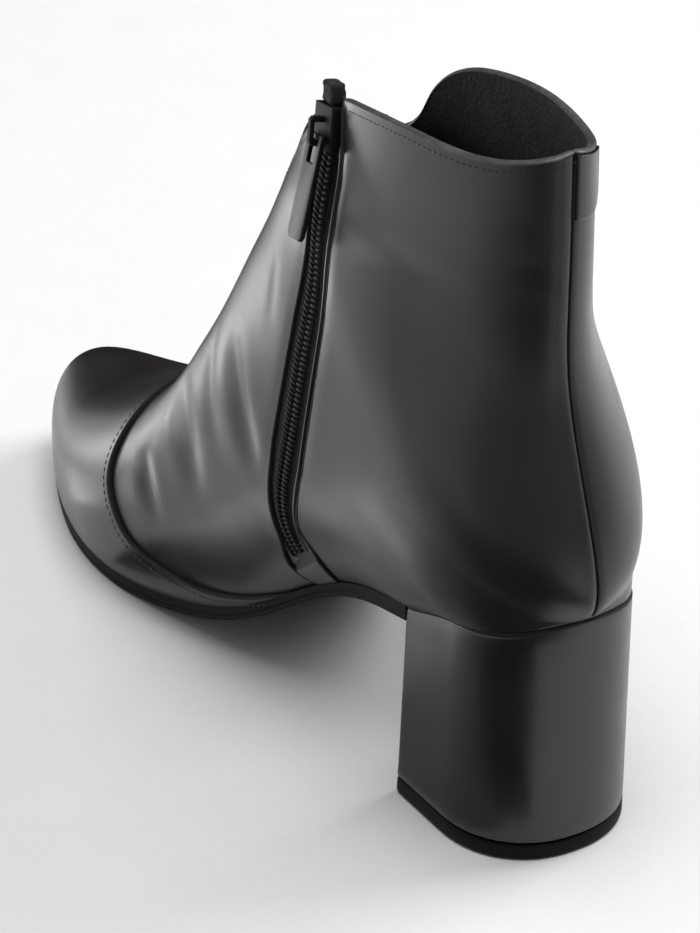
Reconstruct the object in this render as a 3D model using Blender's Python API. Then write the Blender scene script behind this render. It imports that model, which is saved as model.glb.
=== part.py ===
"""Block heel ankle boot for the right foot: a zipped leather upper on a thin sole and a covered block heel.

Lengths are millimetres until a mesh is made, and meshes are in metres. In the pattern frame x runs from the
back of the heel seat to the toe, y to the wearer's left, which is the inner side with the zip, and z up from
the floor. The skin of the boot is a fan of plane sections: upright ones from the toe to the waist, which then
lean back until the last ones lie almost flat across the shaft.
"""

import math
from collections import namedtuple
from functools import lru_cache

import bmesh
import bpy
import numpy as np
from mathutils import Matrix, Vector

MM = 0.001

# Driving sizes
LENGTH = 247.0
BALL_WIDTH = 78.6
HEEL_HEIGHT = 69.0
SHAFT_HEIGHT = 186.5
WALL = 2.0
GAP = 0.3
ORIGIN = (123.22, -0.31)

# Sizes of the sole and the heel
SOLE_THICK = 4.1
SOLE_LEDGE = 1.0
INSOLE_THICK = 2.2
INSOLE_INSET = WALL + 0.6
LIFT_THICK = 6.0
HEEL_BOTTOM_BACK = 5.2
HEEL_BOTTOM_BREAST = 50.3
HEEL_BOTTOM_HALF = 23.1
HEEL_BACK_REACH = 25.0
BREAST_ROUND = 2.0

# How steeply the skin leaves the featherline, from 0 for flat to 1 for the side of an oval: at the waist and
# ahead of it, and at the heel
STEEP_RUN = (7.0, 9.0)
STEEP_FOOT = (0.7, 1.0)

# Sizes of the gore, the overlays and the zip
GORE_TIP = 6.6
GORE_TOP = 11.4
GORE_HALF = 15.0
GORE_THICK = 1.4
GORE_SUNK = 0.4
CAP_THICK = 1.2
CAP_GAP = 0.6
CAP_LOW_EDGE = 0.02
TAB_WIDTH = 14.0
TAB_DROP = 18.0
TAB_THICK = 1.0
SLOT_HALF = 7.4
SLOT_FOOT_HALF = 4.2
SLOT_TAPERS_AT = 0.75
TAPE_SUNK = 1.0
TAPE_THICK = 1.0
TAPE_STANDS = 4.2
COIL_HALF = 4.2
COIL_LOW, COIL_HIGH = -0.7, 0.5
SLIDER_AT = 0.115
PULL_LONG, PULL_WIDE, PULL_THICK = 26.0, 9.0, 1.2
PULL_BAR_HEIGHT = 3.45
PULL_TILT = 8.0

# One row for each section, from the toe to the top of the shaft. The low end lies on the featherline, or on
# the back of the shaft from the row "long" on, and the top end on the ridge of the instep. x is a share of
# LENGTH, low_z of HEEL_HEIGHT, top_z of SHAFT_HEIGHT, and half and sole_half of half BALL_WIDTH. lean is the
# inward swing in millimetres, and full is the height share at which the section is widest.
Section = namedtuple("Section", "name low_x low_z top_x top_z half sole_half lean full")
SECTIONS = (
    Section("tip",      1.000, 0.162, 1.000, 0.075,  0.000, 0.000,  4.3, 0.45),
    Section("nose",     0.986, 0.150, 0.986, 0.131,  0.209, 0.195,  4.0, 0.45),
    Section("toe",      0.947, 0.122, 0.943, 0.164,  0.433, 0.420,  3.3, 0.42),
    Section("box",      0.883, 0.088, 0.874, 0.182,  0.674, 0.655,  2.1, 0.38),
    Section("cap",      0.794, 0.063, 0.781, 0.241,  0.901, 0.857,  0.8, 0.34),
    Section("ball",     0.692, 0.063, 0.688, 0.330,  1.000, 0.916, -0.3, 0.30),
    Section("waist1",   0.575, 0.129, 0.628, 0.448,  0.959, 0.791, -0.6, 0.30),
    Section("waist2",   0.457, 0.326, 0.591, 0.542,  0.898, 0.667, -0.6, 0.32),
    Section("waist3",   0.332, 0.623, 0.561, 0.622,  0.855, 0.522, -0.3, 0.34),
    Section("breast",   0.194, 0.790, 0.534, 0.692,  0.830, 0.562,  0.0, 0.36),
    Section("seat",     0.105, 0.899, 0.514, 0.751,  0.809, 0.585,  0.0, 0.36),
    Section("long",     0.004, 1.000, 0.496, 0.804,  0.784, 0.000,  0.0, 0.36),
    Section("bulge",    0.002, 1.319, 0.482, 0.858,  0.718, 0.000,  0.0, 0.40),
    Section("achilles", 0.045, 1.783, 0.466, 0.917,  0.570, 0.000,  0.0, 0.45),
    Section("ankle",    0.051, 2.217, 0.449, 0.981,  0.517, 0.000,  0.0, 0.48),
    Section("top",      0.049, 2.841, 0.437, 1.094,  0.496, 0.000,  0.0, 0.50),
)
ROW = {section.name: number for number, section in enumerate(SECTIONS)}

# Height of the collar as a share of SHAFT_HEIGHT, by the share of the half girth from the back to the ridge
CollarPoint = namedtuple("CollarPoint", "girth height")
COLLAR = (
    CollarPoint(0.00, 1.000),
    CollarPoint(0.20, 0.973),
    CollarPoint(0.42, 0.965),
    CollarPoint(0.60, 0.949),
    CollarPoint(0.72, 0.930),
    CollarPoint(0.79, 0.903),
    CollarPoint(0.88, 0.823),
    CollarPoint(1.00, 0.828),
)

# Back edge of the toe cap: the section that it reaches, by the share of the half girth from the featherline
CapPoint = namedtuple("CapPoint", "girth section")
CAP_EDGE = (
    CapPoint(0.00, 7.40),
    CapPoint(0.05, 6.60),
    CapPoint(0.10, 6.15),
    CapPoint(0.16, 5.65),
    CapPoint(0.25, 5.28),
    CapPoint(0.37, 5.00),
    CapPoint(0.53, 4.85),
    CapPoint(0.76, 4.73),
    CapPoint(1.00, 4.72),
)

# Middle of the zip, from its top to its foot above the waist: section and distance from the ridge over the
# skin, as a share of BALL_WIDTH
ZipPoint = namedtuple("ZipPoint", "section from_ridge")
ZIP = (
    ZipPoint(13.99, 0.315),
    ZipPoint(13.25, 0.412),
    ZipPoint(12.46, 0.526),
    ZipPoint(11.63, 0.632),
    ZipPoint(10.73, 0.730),
    ZipPoint(9.91, 0.835),
    ZipPoint(9.13, 0.928),
    ZipPoint(8.55, 1.019),
    ZipPoint(8.14, 1.122),
    ZipPoint(7.93, 1.272),
)


class Spline:
    """Natural cubic curve through one value at each knot."""

    def __init__(self, knots, values):
        self.knots = np.array(knots, float)
        self.values = np.array(values, float)
        count = len(knots)
        step = np.diff(self.knots)
        slope = np.diff(self.values) / step
        system = np.eye(count)
        right = np.zeros(count)
        for i in range(1, count - 1):
            system[i, i - 1:i + 2] = step[i - 1], 2 * (step[i - 1] + step[i]), step[i]
            right[i] = 3 * (slope[i] - slope[i - 1])
        bend = np.linalg.solve(system, right)
        self.bend = bend
        self.cubic = np.diff(bend) / (3 * step)
        self.linear = slope - step * (2 * bend[:-1] + bend[1:]) / 3

    def __call__(self, at):
        i = int(np.clip(np.searchsorted(self.knots, at, side="right") - 1, 0, len(self.knots) - 2))
        t = at - self.knots[i]
        return self.values[i] + t * (self.linear[i] + t * (self.bend[i] + t * self.cubic[i]))


def section_curves():
    """A curve over the rows for each column. A mirrored row before the tip makes the nose close round."""
    size = {
        "low_x": LENGTH, "top_x": LENGTH, "low_z": HEEL_HEIGHT, "top_z": SHAFT_HEIGHT,
        "half": BALL_WIDTH / 2, "sole_half": BALL_WIDTH / 2, "lean": 1.0, "full": 1.0,
    }
    curves = {}
    for column, unit in size.items():
        rows = SECTIONS[:ROW["long"]] if column == "sole_half" else SECTIONS
        values = [unit * getattr(row, column) for row in rows]
        mirrored = -values[ROW["nose"]] if column in ("half", "sole_half") else values[ROW["nose"]]
        curves[column] = Spline(range(-1, len(rows)), [mirrored] + values)
    return curves


CURVE = section_curves()
COLLAR_CURVE = Spline([p.girth for p in COLLAR], [p.height * SHAFT_HEIGHT for p in COLLAR])
CAP_CURVE = Spline([p.girth for p in CAP_EDGE], [p.section for p in CAP_EDGE])


def sole_half(s):
    """Half width of the featherline. Its heel end, from the seat to the back, is half an ellipse."""
    if s >= ROW["long"]:
        return 0.0
    if s <= ROW["seat"]:
        return max(CURVE["sole_half"](s), 0.0)
    seat_x, back_x = CURVE["low_x"](ROW["seat"]), CURVE["low_x"](ROW["long"])
    share = (seat_x - CURVE["low_x"](s)) / (seat_x - back_x)
    return CURVE["sole_half"](ROW["seat"]) * math.sqrt(max(0.0, 1 - share * share))


Half = namedtuple("Half", "share rise spread low top lean girth")


@lru_cache(maxsize=None)
def half_section(s):
    """Half of a section: rise and spread by the share of its girth, from its low end to the ridge."""
    low = np.array((CURVE["low_x"](s), CURVE["low_z"](s)))
    top = np.array((CURVE["top_x"](s), CURVE["top_z"](s)))
    foot = sole_half(s)
    widest = max(CURVE["half"](s), foot + 0.1 * min(s, 1.0))
    full = CURVE["full"](s)
    steep = np.interp(s, STEEP_RUN, STEEP_FOOT)
    start = steep * math.asin(foot / widest) if widest else 0.0
    under = np.linspace(start, math.pi / 2, 25)
    grow = (np.sin(under) - math.sin(start)) / (1 - math.sin(start))
    over = np.linspace(0, math.pi / 2, 25)[1:]
    rise = np.concatenate((full * (1 - np.cos(under) / math.cos(start)), full + (1 - full) * np.sin(over)))
    spread = np.concatenate((foot + (widest - foot) * grow, widest * np.cos(over)))
    steps = np.hypot(np.diff(rise) * np.hypot(*(top - low)), np.diff(spread))
    girth = np.concatenate(((0.0,), np.cumsum(steps)))
    return Half(girth / girth[-1], rise, spread, low, top, CURVE["lean"](s), girth[-1])


def skin(s, u):
    """Point of the skin at section s. u runs from -1, the outer low edge, over the ridge at 0 to 1, the inner."""
    half = half_section(round(max(s, 0.001), 6))
    share = 1 - min(abs(u), 1.0)
    rise = np.interp(share, half.share, half.rise)
    spread = np.interp(share, half.share, half.spread)
    x, z = half.low + (half.top - half.low) * rise
    return np.array((x, half.lean + math.copysign(spread, u), z))


def skin_slopes(s, u):
    """How the skin moves with s and with u."""
    ds, du = 0.02, 0.01
    s0, s1 = max(s - ds, 0.001), s + ds
    u0, u1 = max(u - du, -1.0), min(u + du, 1.0)
    return (skin(s1, u) - skin(s0, u)) / (s1 - s0), (skin(s, u1) - skin(s, u0)) / (u1 - u0)


def outward(s, u):
    """Unit vector out of the skin. The tip is a short upright line that faces straight ahead."""
    if s < 0.01:
        return np.array((1.0, 0.0, 0.0))
    along, around = skin_slopes(s, u)
    normal = np.cross(around, along)
    return normal / np.linalg.norm(normal)


def over_skin(s, u, height):
    return skin(s, u) + outward(s, u) * height


def girth_share(s, distance):
    """The u at a distance in millimetres from the ridge, measured over the skin."""
    return distance / half_section(round(s, 6)).girth


def off_ridge(s, distance, height=0.0):
    """Point at a distance from the ridge over the skin, lifted by height."""
    return over_skin(s, girth_share(s, distance), height)


def collar_section(u):
    """The section at which the collar crosses the line u."""
    height = COLLAR_CURVE(1 - abs(u))
    low, high = float(ROW["long"]), float(ROW["top"])
    for _ in range(40):
        middle = (low + high) / 2
        if skin(middle, u)[2] < height:
            low = middle
        else:
            high = middle
    return low


def eased(t):
    """0 to 1 in closer steps at both ends."""
    return t - 0.45 * math.sin(2 * math.pi * t) / (2 * math.pi)


def finish(name, colour, roughness, metallic=0.0):
    material = bpy.data.materials.new(name)
    material.use_nodes = True
    shader = material.node_tree.nodes["Principled BSDF"]
    shader.inputs["Base Color"].default_value = (*colour, 1.0)
    shader.inputs["Roughness"].default_value = roughness
    shader.inputs["Metallic"].default_value = metallic
    return material


def new_object(name, bm, material):
    for face in bm.faces:
        face.smooth = True
    mesh = bpy.data.meshes.new(name)
    bm.to_mesh(mesh)
    bm.free()
    mesh.set_sharp_from_angle(angle=math.radians(40))
    mesh.materials.append(material)
    made = bpy.data.objects.new(name, mesh)
    bpy.context.scene.collection.objects.link(made)
    return made


def placed(point):
    """A pattern point in millimetres as a point of the part in metres."""
    x, y, z = point
    return Vector((x - ORIGIN[0], y - ORIGIN[1], z)) * MM


def mapped_grid(columns, rows, place):
    """A grid whose point at shares a across and b along is put where place(a, b) says, with doubles merged."""
    bm = bmesh.new()
    bmesh.ops.create_grid(bm, x_segments=columns, y_segments=rows, size=1.0)
    for vertex in bm.verts:
        a, b = (vertex.co.x + 1) / 2, (vertex.co.y + 1) / 2
        vertex.co = placed(place(a, b))
    bmesh.ops.remove_doubles(bm, verts=bm.verts, dist=0.02 * MM)
    bmesh.ops.dissolve_degenerate(bm, edges=bm.edges, dist=0.01 * MM)
    return bm


def sheet(name, columns, rows, place, thick, material):
    """A mapped grid with a wall behind it."""
    made = new_object(name, mapped_grid(columns, rows, place), material)
    wall = made.modifiers.new("wall", "SOLIDIFY")
    wall.thickness = thick * MM
    wall.offset = -1.0
    wall.use_quality_normals = True
    return made


def closed_grid(name, columns, rows, place, material):
    """A mapped grid whose edges meet, or leave plane ends that are filled."""
    bm = mapped_grid(columns, rows, place)
    bmesh.ops.holes_fill(bm, edges=bm.edges, sides=0)
    bmesh.ops.recalc_face_normals(bm, faces=bm.faces)
    return new_object(name, bm, material)


def cut(solid, cutter):
    cutter.hide_render = True
    cutter.display_type = "WIRE"
    boolean = solid.modifiers.new("cut " + cutter.name, "BOOLEAN")
    boolean.operation = "DIFFERENCE"
    boolean.solver = "EXACT"
    boolean.object = cutter


def upper_stations():
    """Section numbers of the upper's rows up to the seat, closer together at the toe and round the heel end."""
    toe = [0.0, 0.35, 0.7]
    foot = list(np.linspace(1, ROW["seat"], 20))
    heel = [ROW["seat"] + math.sin(turn) for turn in np.linspace(0, math.pi / 2, 8)[1:]]
    return toe + foot + heel


SHAFT_ROWS = 9
UPPER_COLUMNS = 30


def make_upper(material):
    stations = upper_stations()
    rows = len(stations) - 1 + SHAFT_ROWS

    def place(a, b):
        u = 2 * eased(a) - 1
        row = b * rows
        if row <= len(stations) - 1:
            return skin(float(np.interp(row, range(len(stations)), stations)), u)
        share = (row - len(stations) + 1) / SHAFT_ROWS
        return skin(ROW["long"] + share * (collar_section(u) - ROW["long"]), u)

    return sheet("upper", UPPER_COLUMNS, rows, place, WALL, material)


def gore_half(s):
    """Half width of the notch for the gore, in millimetres along the girth."""
    return GORE_HALF * (s - GORE_TIP) / (GORE_TOP - GORE_TIP)


def make_gore_cutter(material):
    top = GORE_TOP + 1.6

    def place(a, b):
        s = GORE_TIP + b * (top - GORE_TIP)
        return off_ridge(s, (2 * a - 1) * gore_half(s), 2.0)

    return sheet("gore_cutter", 8, 14, place, WALL + 4.0, material)


def make_gore(material):
    first = GORE_TIP + 0.35

    def place(a, b):
        q = 2 * a - 1
        s = first + b * (GORE_TOP - 0.05 + 0.2 * q * q - first)
        return off_ridge(s, q * (gore_half(s) - GAP * 1.1), -GORE_SUNK)

    return sheet("front_gore", 8, 12, place, GORE_THICK, material)


def make_toe_cap(material):
    def place(a, b):
        u = min(max(2 * eased(a) - 1, CAP_LOW_EDGE - 1), 1 - CAP_LOW_EDGE)
        return over_skin(b ** 1.2 * CAP_CURVE(1 - abs(u)), u, CAP_GAP + CAP_THICK)

    return sheet("toe_cap", UPPER_COLUMNS, 16, place, CAP_THICK, material)


def make_back_tab(material):
    rise_per_section = CURVE["low_z"](ROW["top"]) - CURVE["low_z"](ROW["ankle"])

    def place(a, b):
        u = -1 + a * TAB_WIDTH / half_section(14.0).girth
        round_end = math.sqrt(1 - 0.5 * max(0.0, (a - 0.5) / 0.5) ** 2)
        drop = 0.6 + (1 - b) * (TAB_DROP * round_end - 0.6)
        return over_skin(collar_section(u) - drop / rise_per_section, u, GAP + TAB_THICK)

    return sheet("back_tab", 6, 6, place, TAB_THICK, material)


ZIP_SECTION = Spline(np.linspace(0, 1, len(ZIP)), [p.section for p in ZIP])
ZIP_FROM_RIDGE = Spline(np.linspace(0, 1, len(ZIP)), [p.from_ridge * BALL_WIDTH for p in ZIP])


def zip_point(t):
    return off_ridge(ZIP_SECTION(t), ZIP_FROM_RIDGE(t))


def zip_frame(t):
    """Point of the zip's middle line and unit vectors across it, up along it and out of the skin."""
    s = ZIP_SECTION(t)
    up = zip_point(max(t - 0.01, 0.0)) - zip_point(min(t + 0.01, 1.0))
    out = outward(s, girth_share(s, ZIP_FROM_RIDGE(t)))
    up -= out * (up @ out)
    up /= np.linalg.norm(up)
    return zip_point(t), np.cross(up, out), up, out


def zip_narrowing(t):
    """Share of its full width that the zip has at t: it narrows towards its foot."""
    foot = max(0.0, (t - SLOT_TAPERS_AT) / (1 - SLOT_TAPERS_AT))
    return 1 - foot * (1 - SLOT_FOOT_HALF / SLOT_HALF)


def beside_zip(t, across, height):
    """Point of the skin at a distance across from the zip's middle, lifted by height."""
    s, distance = ZIP_SECTION(t), ZIP_FROM_RIDGE(t)
    along = (off_ridge(s + 0.02, distance) - off_ridge(s - 0.02, distance)) / 0.04
    around = off_ridge(s, distance + 0.5) - off_ridge(s, distance - 0.5)
    ds, step = np.linalg.lstsq(np.stack((along, around), axis=1), zip_frame(t)[1] * across, rcond=None)[0]
    return off_ridge(s + ds, distance + step, height)


def zip_length():
    points = [zip_point(t) for t in np.linspace(0, 1, 101)]
    return sum(np.linalg.norm(b - a) for a, b in zip(points, points[1:]))


def make_zip_slot_cutter(material):
    def place(a, b):
        return beside_zip(1 - b, (2 * a - 1) * SLOT_HALF * zip_narrowing(1 - b), 2.0)

    return sheet("slot_cutter", 4, 40, place, WALL + 4.0, material)


def collar_on_zip():
    """Share of the zip's middle line that stands above the collar."""
    shares = np.linspace(0, 0.3, 301)
    return next(t for t in shares
                if ZIP_SECTION(t) <= collar_section(girth_share(ZIP_SECTION(t), ZIP_FROM_RIDGE(t))))


def make_zip_tape(material):
    first = collar_on_zip() - TAPE_STANDS / zip_length()
    last = 1 - 2 * GAP / zip_length()

    def place(a, b):
        t = last + b * (first - last)
        return beside_zip(t, (2 * a - 1) * (SLOT_HALF * zip_narrowing(t) - GAP), -TAPE_SUNK)

    return sheet("zip_tape", 4, 40, place, TAPE_THICK, material)


def make_zip_coil(material):
    first = collar_on_zip() + 1.0 / zip_length()
    last = 1 - 1.5 / zip_length()
    low, high = COIL_LOW, COIL_HIGH
    ring = [(-COIL_HALF, low), (-COIL_HALF, low + 0.5), (-0.6 * COIL_HALF, high), (0.6 * COIL_HALF, high),
            (COIL_HALF, low + 0.5), (COIL_HALF, low), (-COIL_HALF, low)]

    def place(a, b):
        across, height = ring[round(a * (len(ring) - 1))]
        t = last + b * (first - last)
        return beside_zip(t, across * zip_narrowing(t), height)

    return closed_grid("zip_coil", len(ring) - 1, 44, place, material)


def prism(name, profile, depth, material):
    """A plane outline, given as (x, y), pushed both ways along z to a depth."""
    bm = bmesh.new()
    corners = [bm.verts.new((x * MM, y * MM, -depth / 2 * MM)) for x, y in profile]
    face = bm.faces.new(corners)
    grown = bmesh.ops.extrude_face_region(bm, geom=[face])
    moved = [item for item in grown["geom"] if isinstance(item, bmesh.types.BMVert)]
    bmesh.ops.translate(bm, verts=moved, vec=(0, 0, depth * MM))
    bmesh.ops.recalc_face_normals(bm, faces=bm.faces)
    return new_object(name, bm, material)


def frame_matrix(t, x_axis, y_axis, offset):
    """World matrix of a piece on the zip: two axes named by zip_frame's order and an offset in that frame."""
    point, *axes = zip_frame(t)
    x, y = axes[x_axis], axes[y_axis]
    matrix = Matrix(np.stack((x, y, np.cross(x, y)), axis=1).tolist()).to_4x4()
    matrix.translation = placed(point + sum(axis * size for axis, size in zip(axes, offset)))
    return matrix


ACROSS, UP, OUT = range(3)


def make_zip_slider(material):
    channel = ((-5.8, -0.2), (-4.7, -0.2), (-4.7, 0.9), (4.7, 0.9), (4.7, -0.2),
               (5.8, -0.2), (5.8, 1.9), (5.4, 2.3), (-5.4, 2.3), (-5.8, 1.9))
    arch = ((-3.6, 1.8), (-2.2, 1.8), (-2.2, 4.6), (2.2, 4.6), (2.2, 1.8), (3.6, 1.8), (3.6, 5.0), (2.8, 5.7),
            (-2.8, 5.7), (-3.6, 5.0))
    slider = prism("zip_slider", channel, 11.0, material)
    slider.matrix_world = frame_matrix(SLIDER_AT, ACROSS, OUT, (0, 1.0, 0))
    bridge = prism("slider_bridge", arch, 2.0, material)
    bridge.matrix_world = frame_matrix(SLIDER_AT, UP, OUT, (0, 0, 0))
    bridge.hide_render = True
    bridge.display_type = "WIRE"
    join = slider.modifiers.new("bridge", "BOOLEAN")
    join.operation = "UNION"
    join.solver = "EXACT"
    join.object = bridge
    return slider


def make_zip_pull(material):
    """The tab hangs from a bar that is one side of its window. Its origin lies on the bar's axis."""
    bar, edge, corner = PULL_THICK, PULL_WIDE / 2, 1.2
    low = bar / 2 - PULL_LONG
    plate = ((-edge, bar / 2), (-edge, low + corner), (-edge + corner, low), (edge - corner, low),
             (edge, low + corner), (edge, bar / 2))
    window = ((-2.1, -bar / 2), (-2.1, -6.6), (2.1, -6.6), (2.1, -bar / 2))
    hang = Matrix.Rotation(-math.radians(PULL_TILT), 4, "X")
    pull = prism("zip_pull", plate, PULL_THICK, material)
    pull.matrix_world = frame_matrix(SLIDER_AT, ACROSS, UP, (0, -1.2, PULL_BAR_HEIGHT)) @ hang
    cutter = prism("pull_window", window, 4 * PULL_THICK, material)
    cutter.parent = pull
    cut(pull, cutter)
    return pull


def sole_outline(first, last):
    """Stations along the featherline between two sections, as (s, x, half width, outward x, outward y)."""
    rows = []
    for s in [first] + [s for s in upper_stations() if first < s < last] + [last]:
        ahead, behind = max(s - 0.02, 0.0), s + 0.02
        run = CURVE["low_x"](ahead) - CURVE["low_x"](behind)
        grow = sole_half(ahead) - sole_half(behind)
        size = math.hypot(run, grow)
        rows.append((s, CURVE["low_x"](s), sole_half(s), -grow / size, run / size))
    return rows


def make_plate(name, profile, first, last, material):
    """A plate under the featherline. profile lists (outward offset, height) down its edge, height by section."""
    stations = sole_outline(first, last)
    loop = [(row, 1) for row in reversed(stations)] + [(row, -1) for row in stations[1:]]

    def place(a, b):
        (s, x, half, out_x, out_y), side = loop[round(b * (len(loop) - 1))]
        level = round(a * (len(profile) + 1))
        offset, height = profile[min(max(level - 1, 0), len(profile) - 1)]
        inner = level in (0, len(profile) + 1)
        y = 0.0 if inner else half + out_y * offset
        return x + out_x * offset, CURVE["lean"](s) + side * y, height(s)

    return closed_grid(name, len(profile) + 1, len(loop) - 1, place, material)


def sole_top(s):
    return CURVE["low_z"](s) - GAP


def sole_bottom(s):
    return max(0.0, sole_top(s) - SOLE_THICK)


def sole_level(share):
    """Height function at a share of the sole's thickness from its top."""
    return lambda s: sole_top(s) + share * (sole_bottom(s) - sole_top(s))


def make_outsole(material):
    ledge = SOLE_LEDGE
    profile = ((ledge - 0.3, sole_level(0)), (ledge, sole_level(0.12)), (ledge, sole_level(0.5)),
               (ledge - 0.5, sole_level(0.56)), (ledge - 0.5, sole_level(0.86)), (ledge - 1.1, sole_level(1)))
    return make_plate("outsole", profile, 0.0, ROW["breast"] - 2 * GAP / 34, material)


def make_insole(material):
    low = lambda s: CURVE["low_z"](s)
    high = lambda s: CURVE["low_z"](s) + INSOLE_THICK
    profile = ((-INSOLE_INSET, high), (-INSOLE_INSET, low))
    return make_plate("insole", profile, 0.6, ROW["long"] - 0.03, material)


def seat_height(x):
    """Height of the featherline over the heel at a distance x from the back."""
    sections = np.linspace(ROW["long"], ROW["breast"] - 0.2, 40)
    return float(np.interp(x, [CURVE["low_x"](s) for s in sections], [CURVE["low_z"](s) for s in sections]))


def dee(back, breast, half):
    """Outline of the heel: a round back, straight sides and a flat breast with rounded corners."""
    sweep = np.linspace(0, math.pi / 2, 13)
    points = [(back + HEEL_BACK_REACH * (1 - math.cos(t)), half * math.sin(t)) for t in sweep]
    corner = np.linspace(0, math.pi / 2, 4)
    points += [(breast - BREAST_ROUND * (1 - math.sin(t)), half - BREAST_ROUND * (1 - math.cos(t))) for t in corner]
    points.append((breast, 0.0))
    return points + [(x, -y) for x, y in reversed(points[:-1])]


def make_block(name, levels, material):
    """A stack of heel outlines. levels lists (outline, height), and height is a number or a function of x."""
    count = len(levels[0][0])

    def place(a, b):
        level = round(a * (len(levels) + 1))
        outline, height = levels[min(max(level - 1, 0), len(levels) - 1)]
        x, y = outline[round(b * (count - 1))]
        inner = level in (0, len(levels) + 1)
        return x, 0.0 if inner else y, height(x) if callable(height) else height

    return closed_grid(name, len(levels) + 1, count - 1, place, material)


def heel_outline(height, inset=0.0):
    """Heel outline at a height, between the seat and the floor."""
    share = 1 - height / HEEL_HEIGHT
    back = CURVE["low_x"](ROW["long"]) + 0.6
    breast = CURVE["low_x"](ROW["breast"])
    half = sole_half(ROW["seat"]) - 0.2
    mix = lambda top, bottom: top + share * (bottom - top)
    return dee(mix(back, HEEL_BOTTOM_BACK) + inset, mix(breast, HEEL_BOTTOM_BREAST) - inset,
               mix(half, HEEL_BOTTOM_HALF) - inset)


def make_heel(material):
    under_seat = lambda x: seat_height(x) - GAP
    levels = [(heel_outline(HEEL_HEIGHT, 0.8), under_seat),
              (heel_outline(HEEL_HEIGHT), lambda x: under_seat(x) - 0.8)]
    levels += [(heel_outline(z), lambda x, z=z: z + (under_seat(x) - under_seat(0)) * z / HEEL_HEIGHT)
               for z in (48.0, 24.0)]
    bottom = LIFT_THICK + GAP
    levels += [(heel_outline(bottom + 0.7), bottom + 0.7), (heel_outline(bottom, 0.6), bottom)]
    return make_block("heel", levels, material)


def make_top_piece(material):
    levels = [(heel_outline(LIFT_THICK, 0.3), LIFT_THICK), (heel_outline(LIFT_THICK), LIFT_THICK - 0.4),
              (heel_outline(0), 0.6), (heel_outline(0, 0.6), 0.0)]
    return make_block("top_piece", levels, material)


def main():
    for item in list(bpy.data.objects):
        bpy.data.objects.remove(item, do_unlink=True)
    leather = finish("black smooth leather", (0.016, 0.015, 0.016), 0.38)
    covered = finish("black covered heel leather", (0.016, 0.015, 0.016), 0.42)
    elastic = finish("black elastic", (0.010, 0.009, 0.009), 0.85)
    rubber = finish("black rubber", (0.012, 0.012, 0.012), 0.6)
    sock = finish("black lining leather", (0.014, 0.013, 0.013), 0.7)
    tape = finish("black woven tape", (0.008, 0.008, 0.008), 0.8)
    coil = finish("black nylon coil", (0.012, 0.012, 0.012), 0.4)
    metal = finish("dark polished nickel", (0.35, 0.34, 0.33), 0.2, 1.0)

    upper = make_upper(leather)
    cut(upper, make_gore_cutter(leather))
    cut(upper, make_zip_slot_cutter(leather))
    make_toe_cap(leather)
    make_back_tab(leather)
    make_gore(elastic)
    make_outsole(rubber)
    make_insole(sock)
    make_heel(covered)
    make_top_piece(rubber)
    make_zip_tape(tape)
    make_zip_coil(coil)
    make_zip_slider(metal)
    make_zip_pull(metal)


main()
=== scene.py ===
# %% [markdown]
# # A black block heel ankle boot
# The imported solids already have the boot's size and shape. This lesson dresses them: it rebuilds each piece
# with a finer surface, adds what a shoemaker adds last, such as folded edges, stitches, creases and a zip
# chain, and gives every surface a finish. The frame is loaded first, because everything is placed in it.

# %% Load the frame
import math
from collections import namedtuple

import bmesh
import bpy
import numpy as np
from mathutils import Matrix, Vector


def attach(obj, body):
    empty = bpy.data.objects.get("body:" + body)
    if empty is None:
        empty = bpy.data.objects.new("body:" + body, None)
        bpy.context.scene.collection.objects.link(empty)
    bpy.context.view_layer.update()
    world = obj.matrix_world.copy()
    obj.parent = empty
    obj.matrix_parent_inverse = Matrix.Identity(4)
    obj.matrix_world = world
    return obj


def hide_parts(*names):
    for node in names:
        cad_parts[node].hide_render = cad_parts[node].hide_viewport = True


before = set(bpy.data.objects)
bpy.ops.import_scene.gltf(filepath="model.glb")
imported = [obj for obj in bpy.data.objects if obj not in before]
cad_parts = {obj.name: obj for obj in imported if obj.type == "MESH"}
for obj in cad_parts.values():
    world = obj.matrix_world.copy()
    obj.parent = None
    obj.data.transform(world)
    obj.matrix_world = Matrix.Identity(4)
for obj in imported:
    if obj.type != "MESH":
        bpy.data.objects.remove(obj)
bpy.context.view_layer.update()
print("nodes to dress:", ", ".join(sorted(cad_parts)))

# %% [markdown]
# ## The last
# A boot is made over a last, so one description of the last serves for every piece of the upper. Here it is a
# fan of plane sections: upright ones from the toe to the waist, which then lean back until the last ones lie
# almost flat across the shaft. Sculpting the shape by hand would also work, but then the cap, the zip and the
# stitches could not find the leather again. Sizes are in millimetres, in the pattern frame of the boot.

# %% Sizes of the last
MM = 0.001
LENGTH = 247.0
BALL_WIDTH = 78.6
HEEL_HEIGHT = 69.0
SHAFT_HEIGHT = 186.5
WALL = 2.0
ORIGIN = np.array((123.22, -0.31, 0.0))
STEEP_RUN = (7.0, 9.0)
STEEP_FOOT = (0.7, 1.0)

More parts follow.
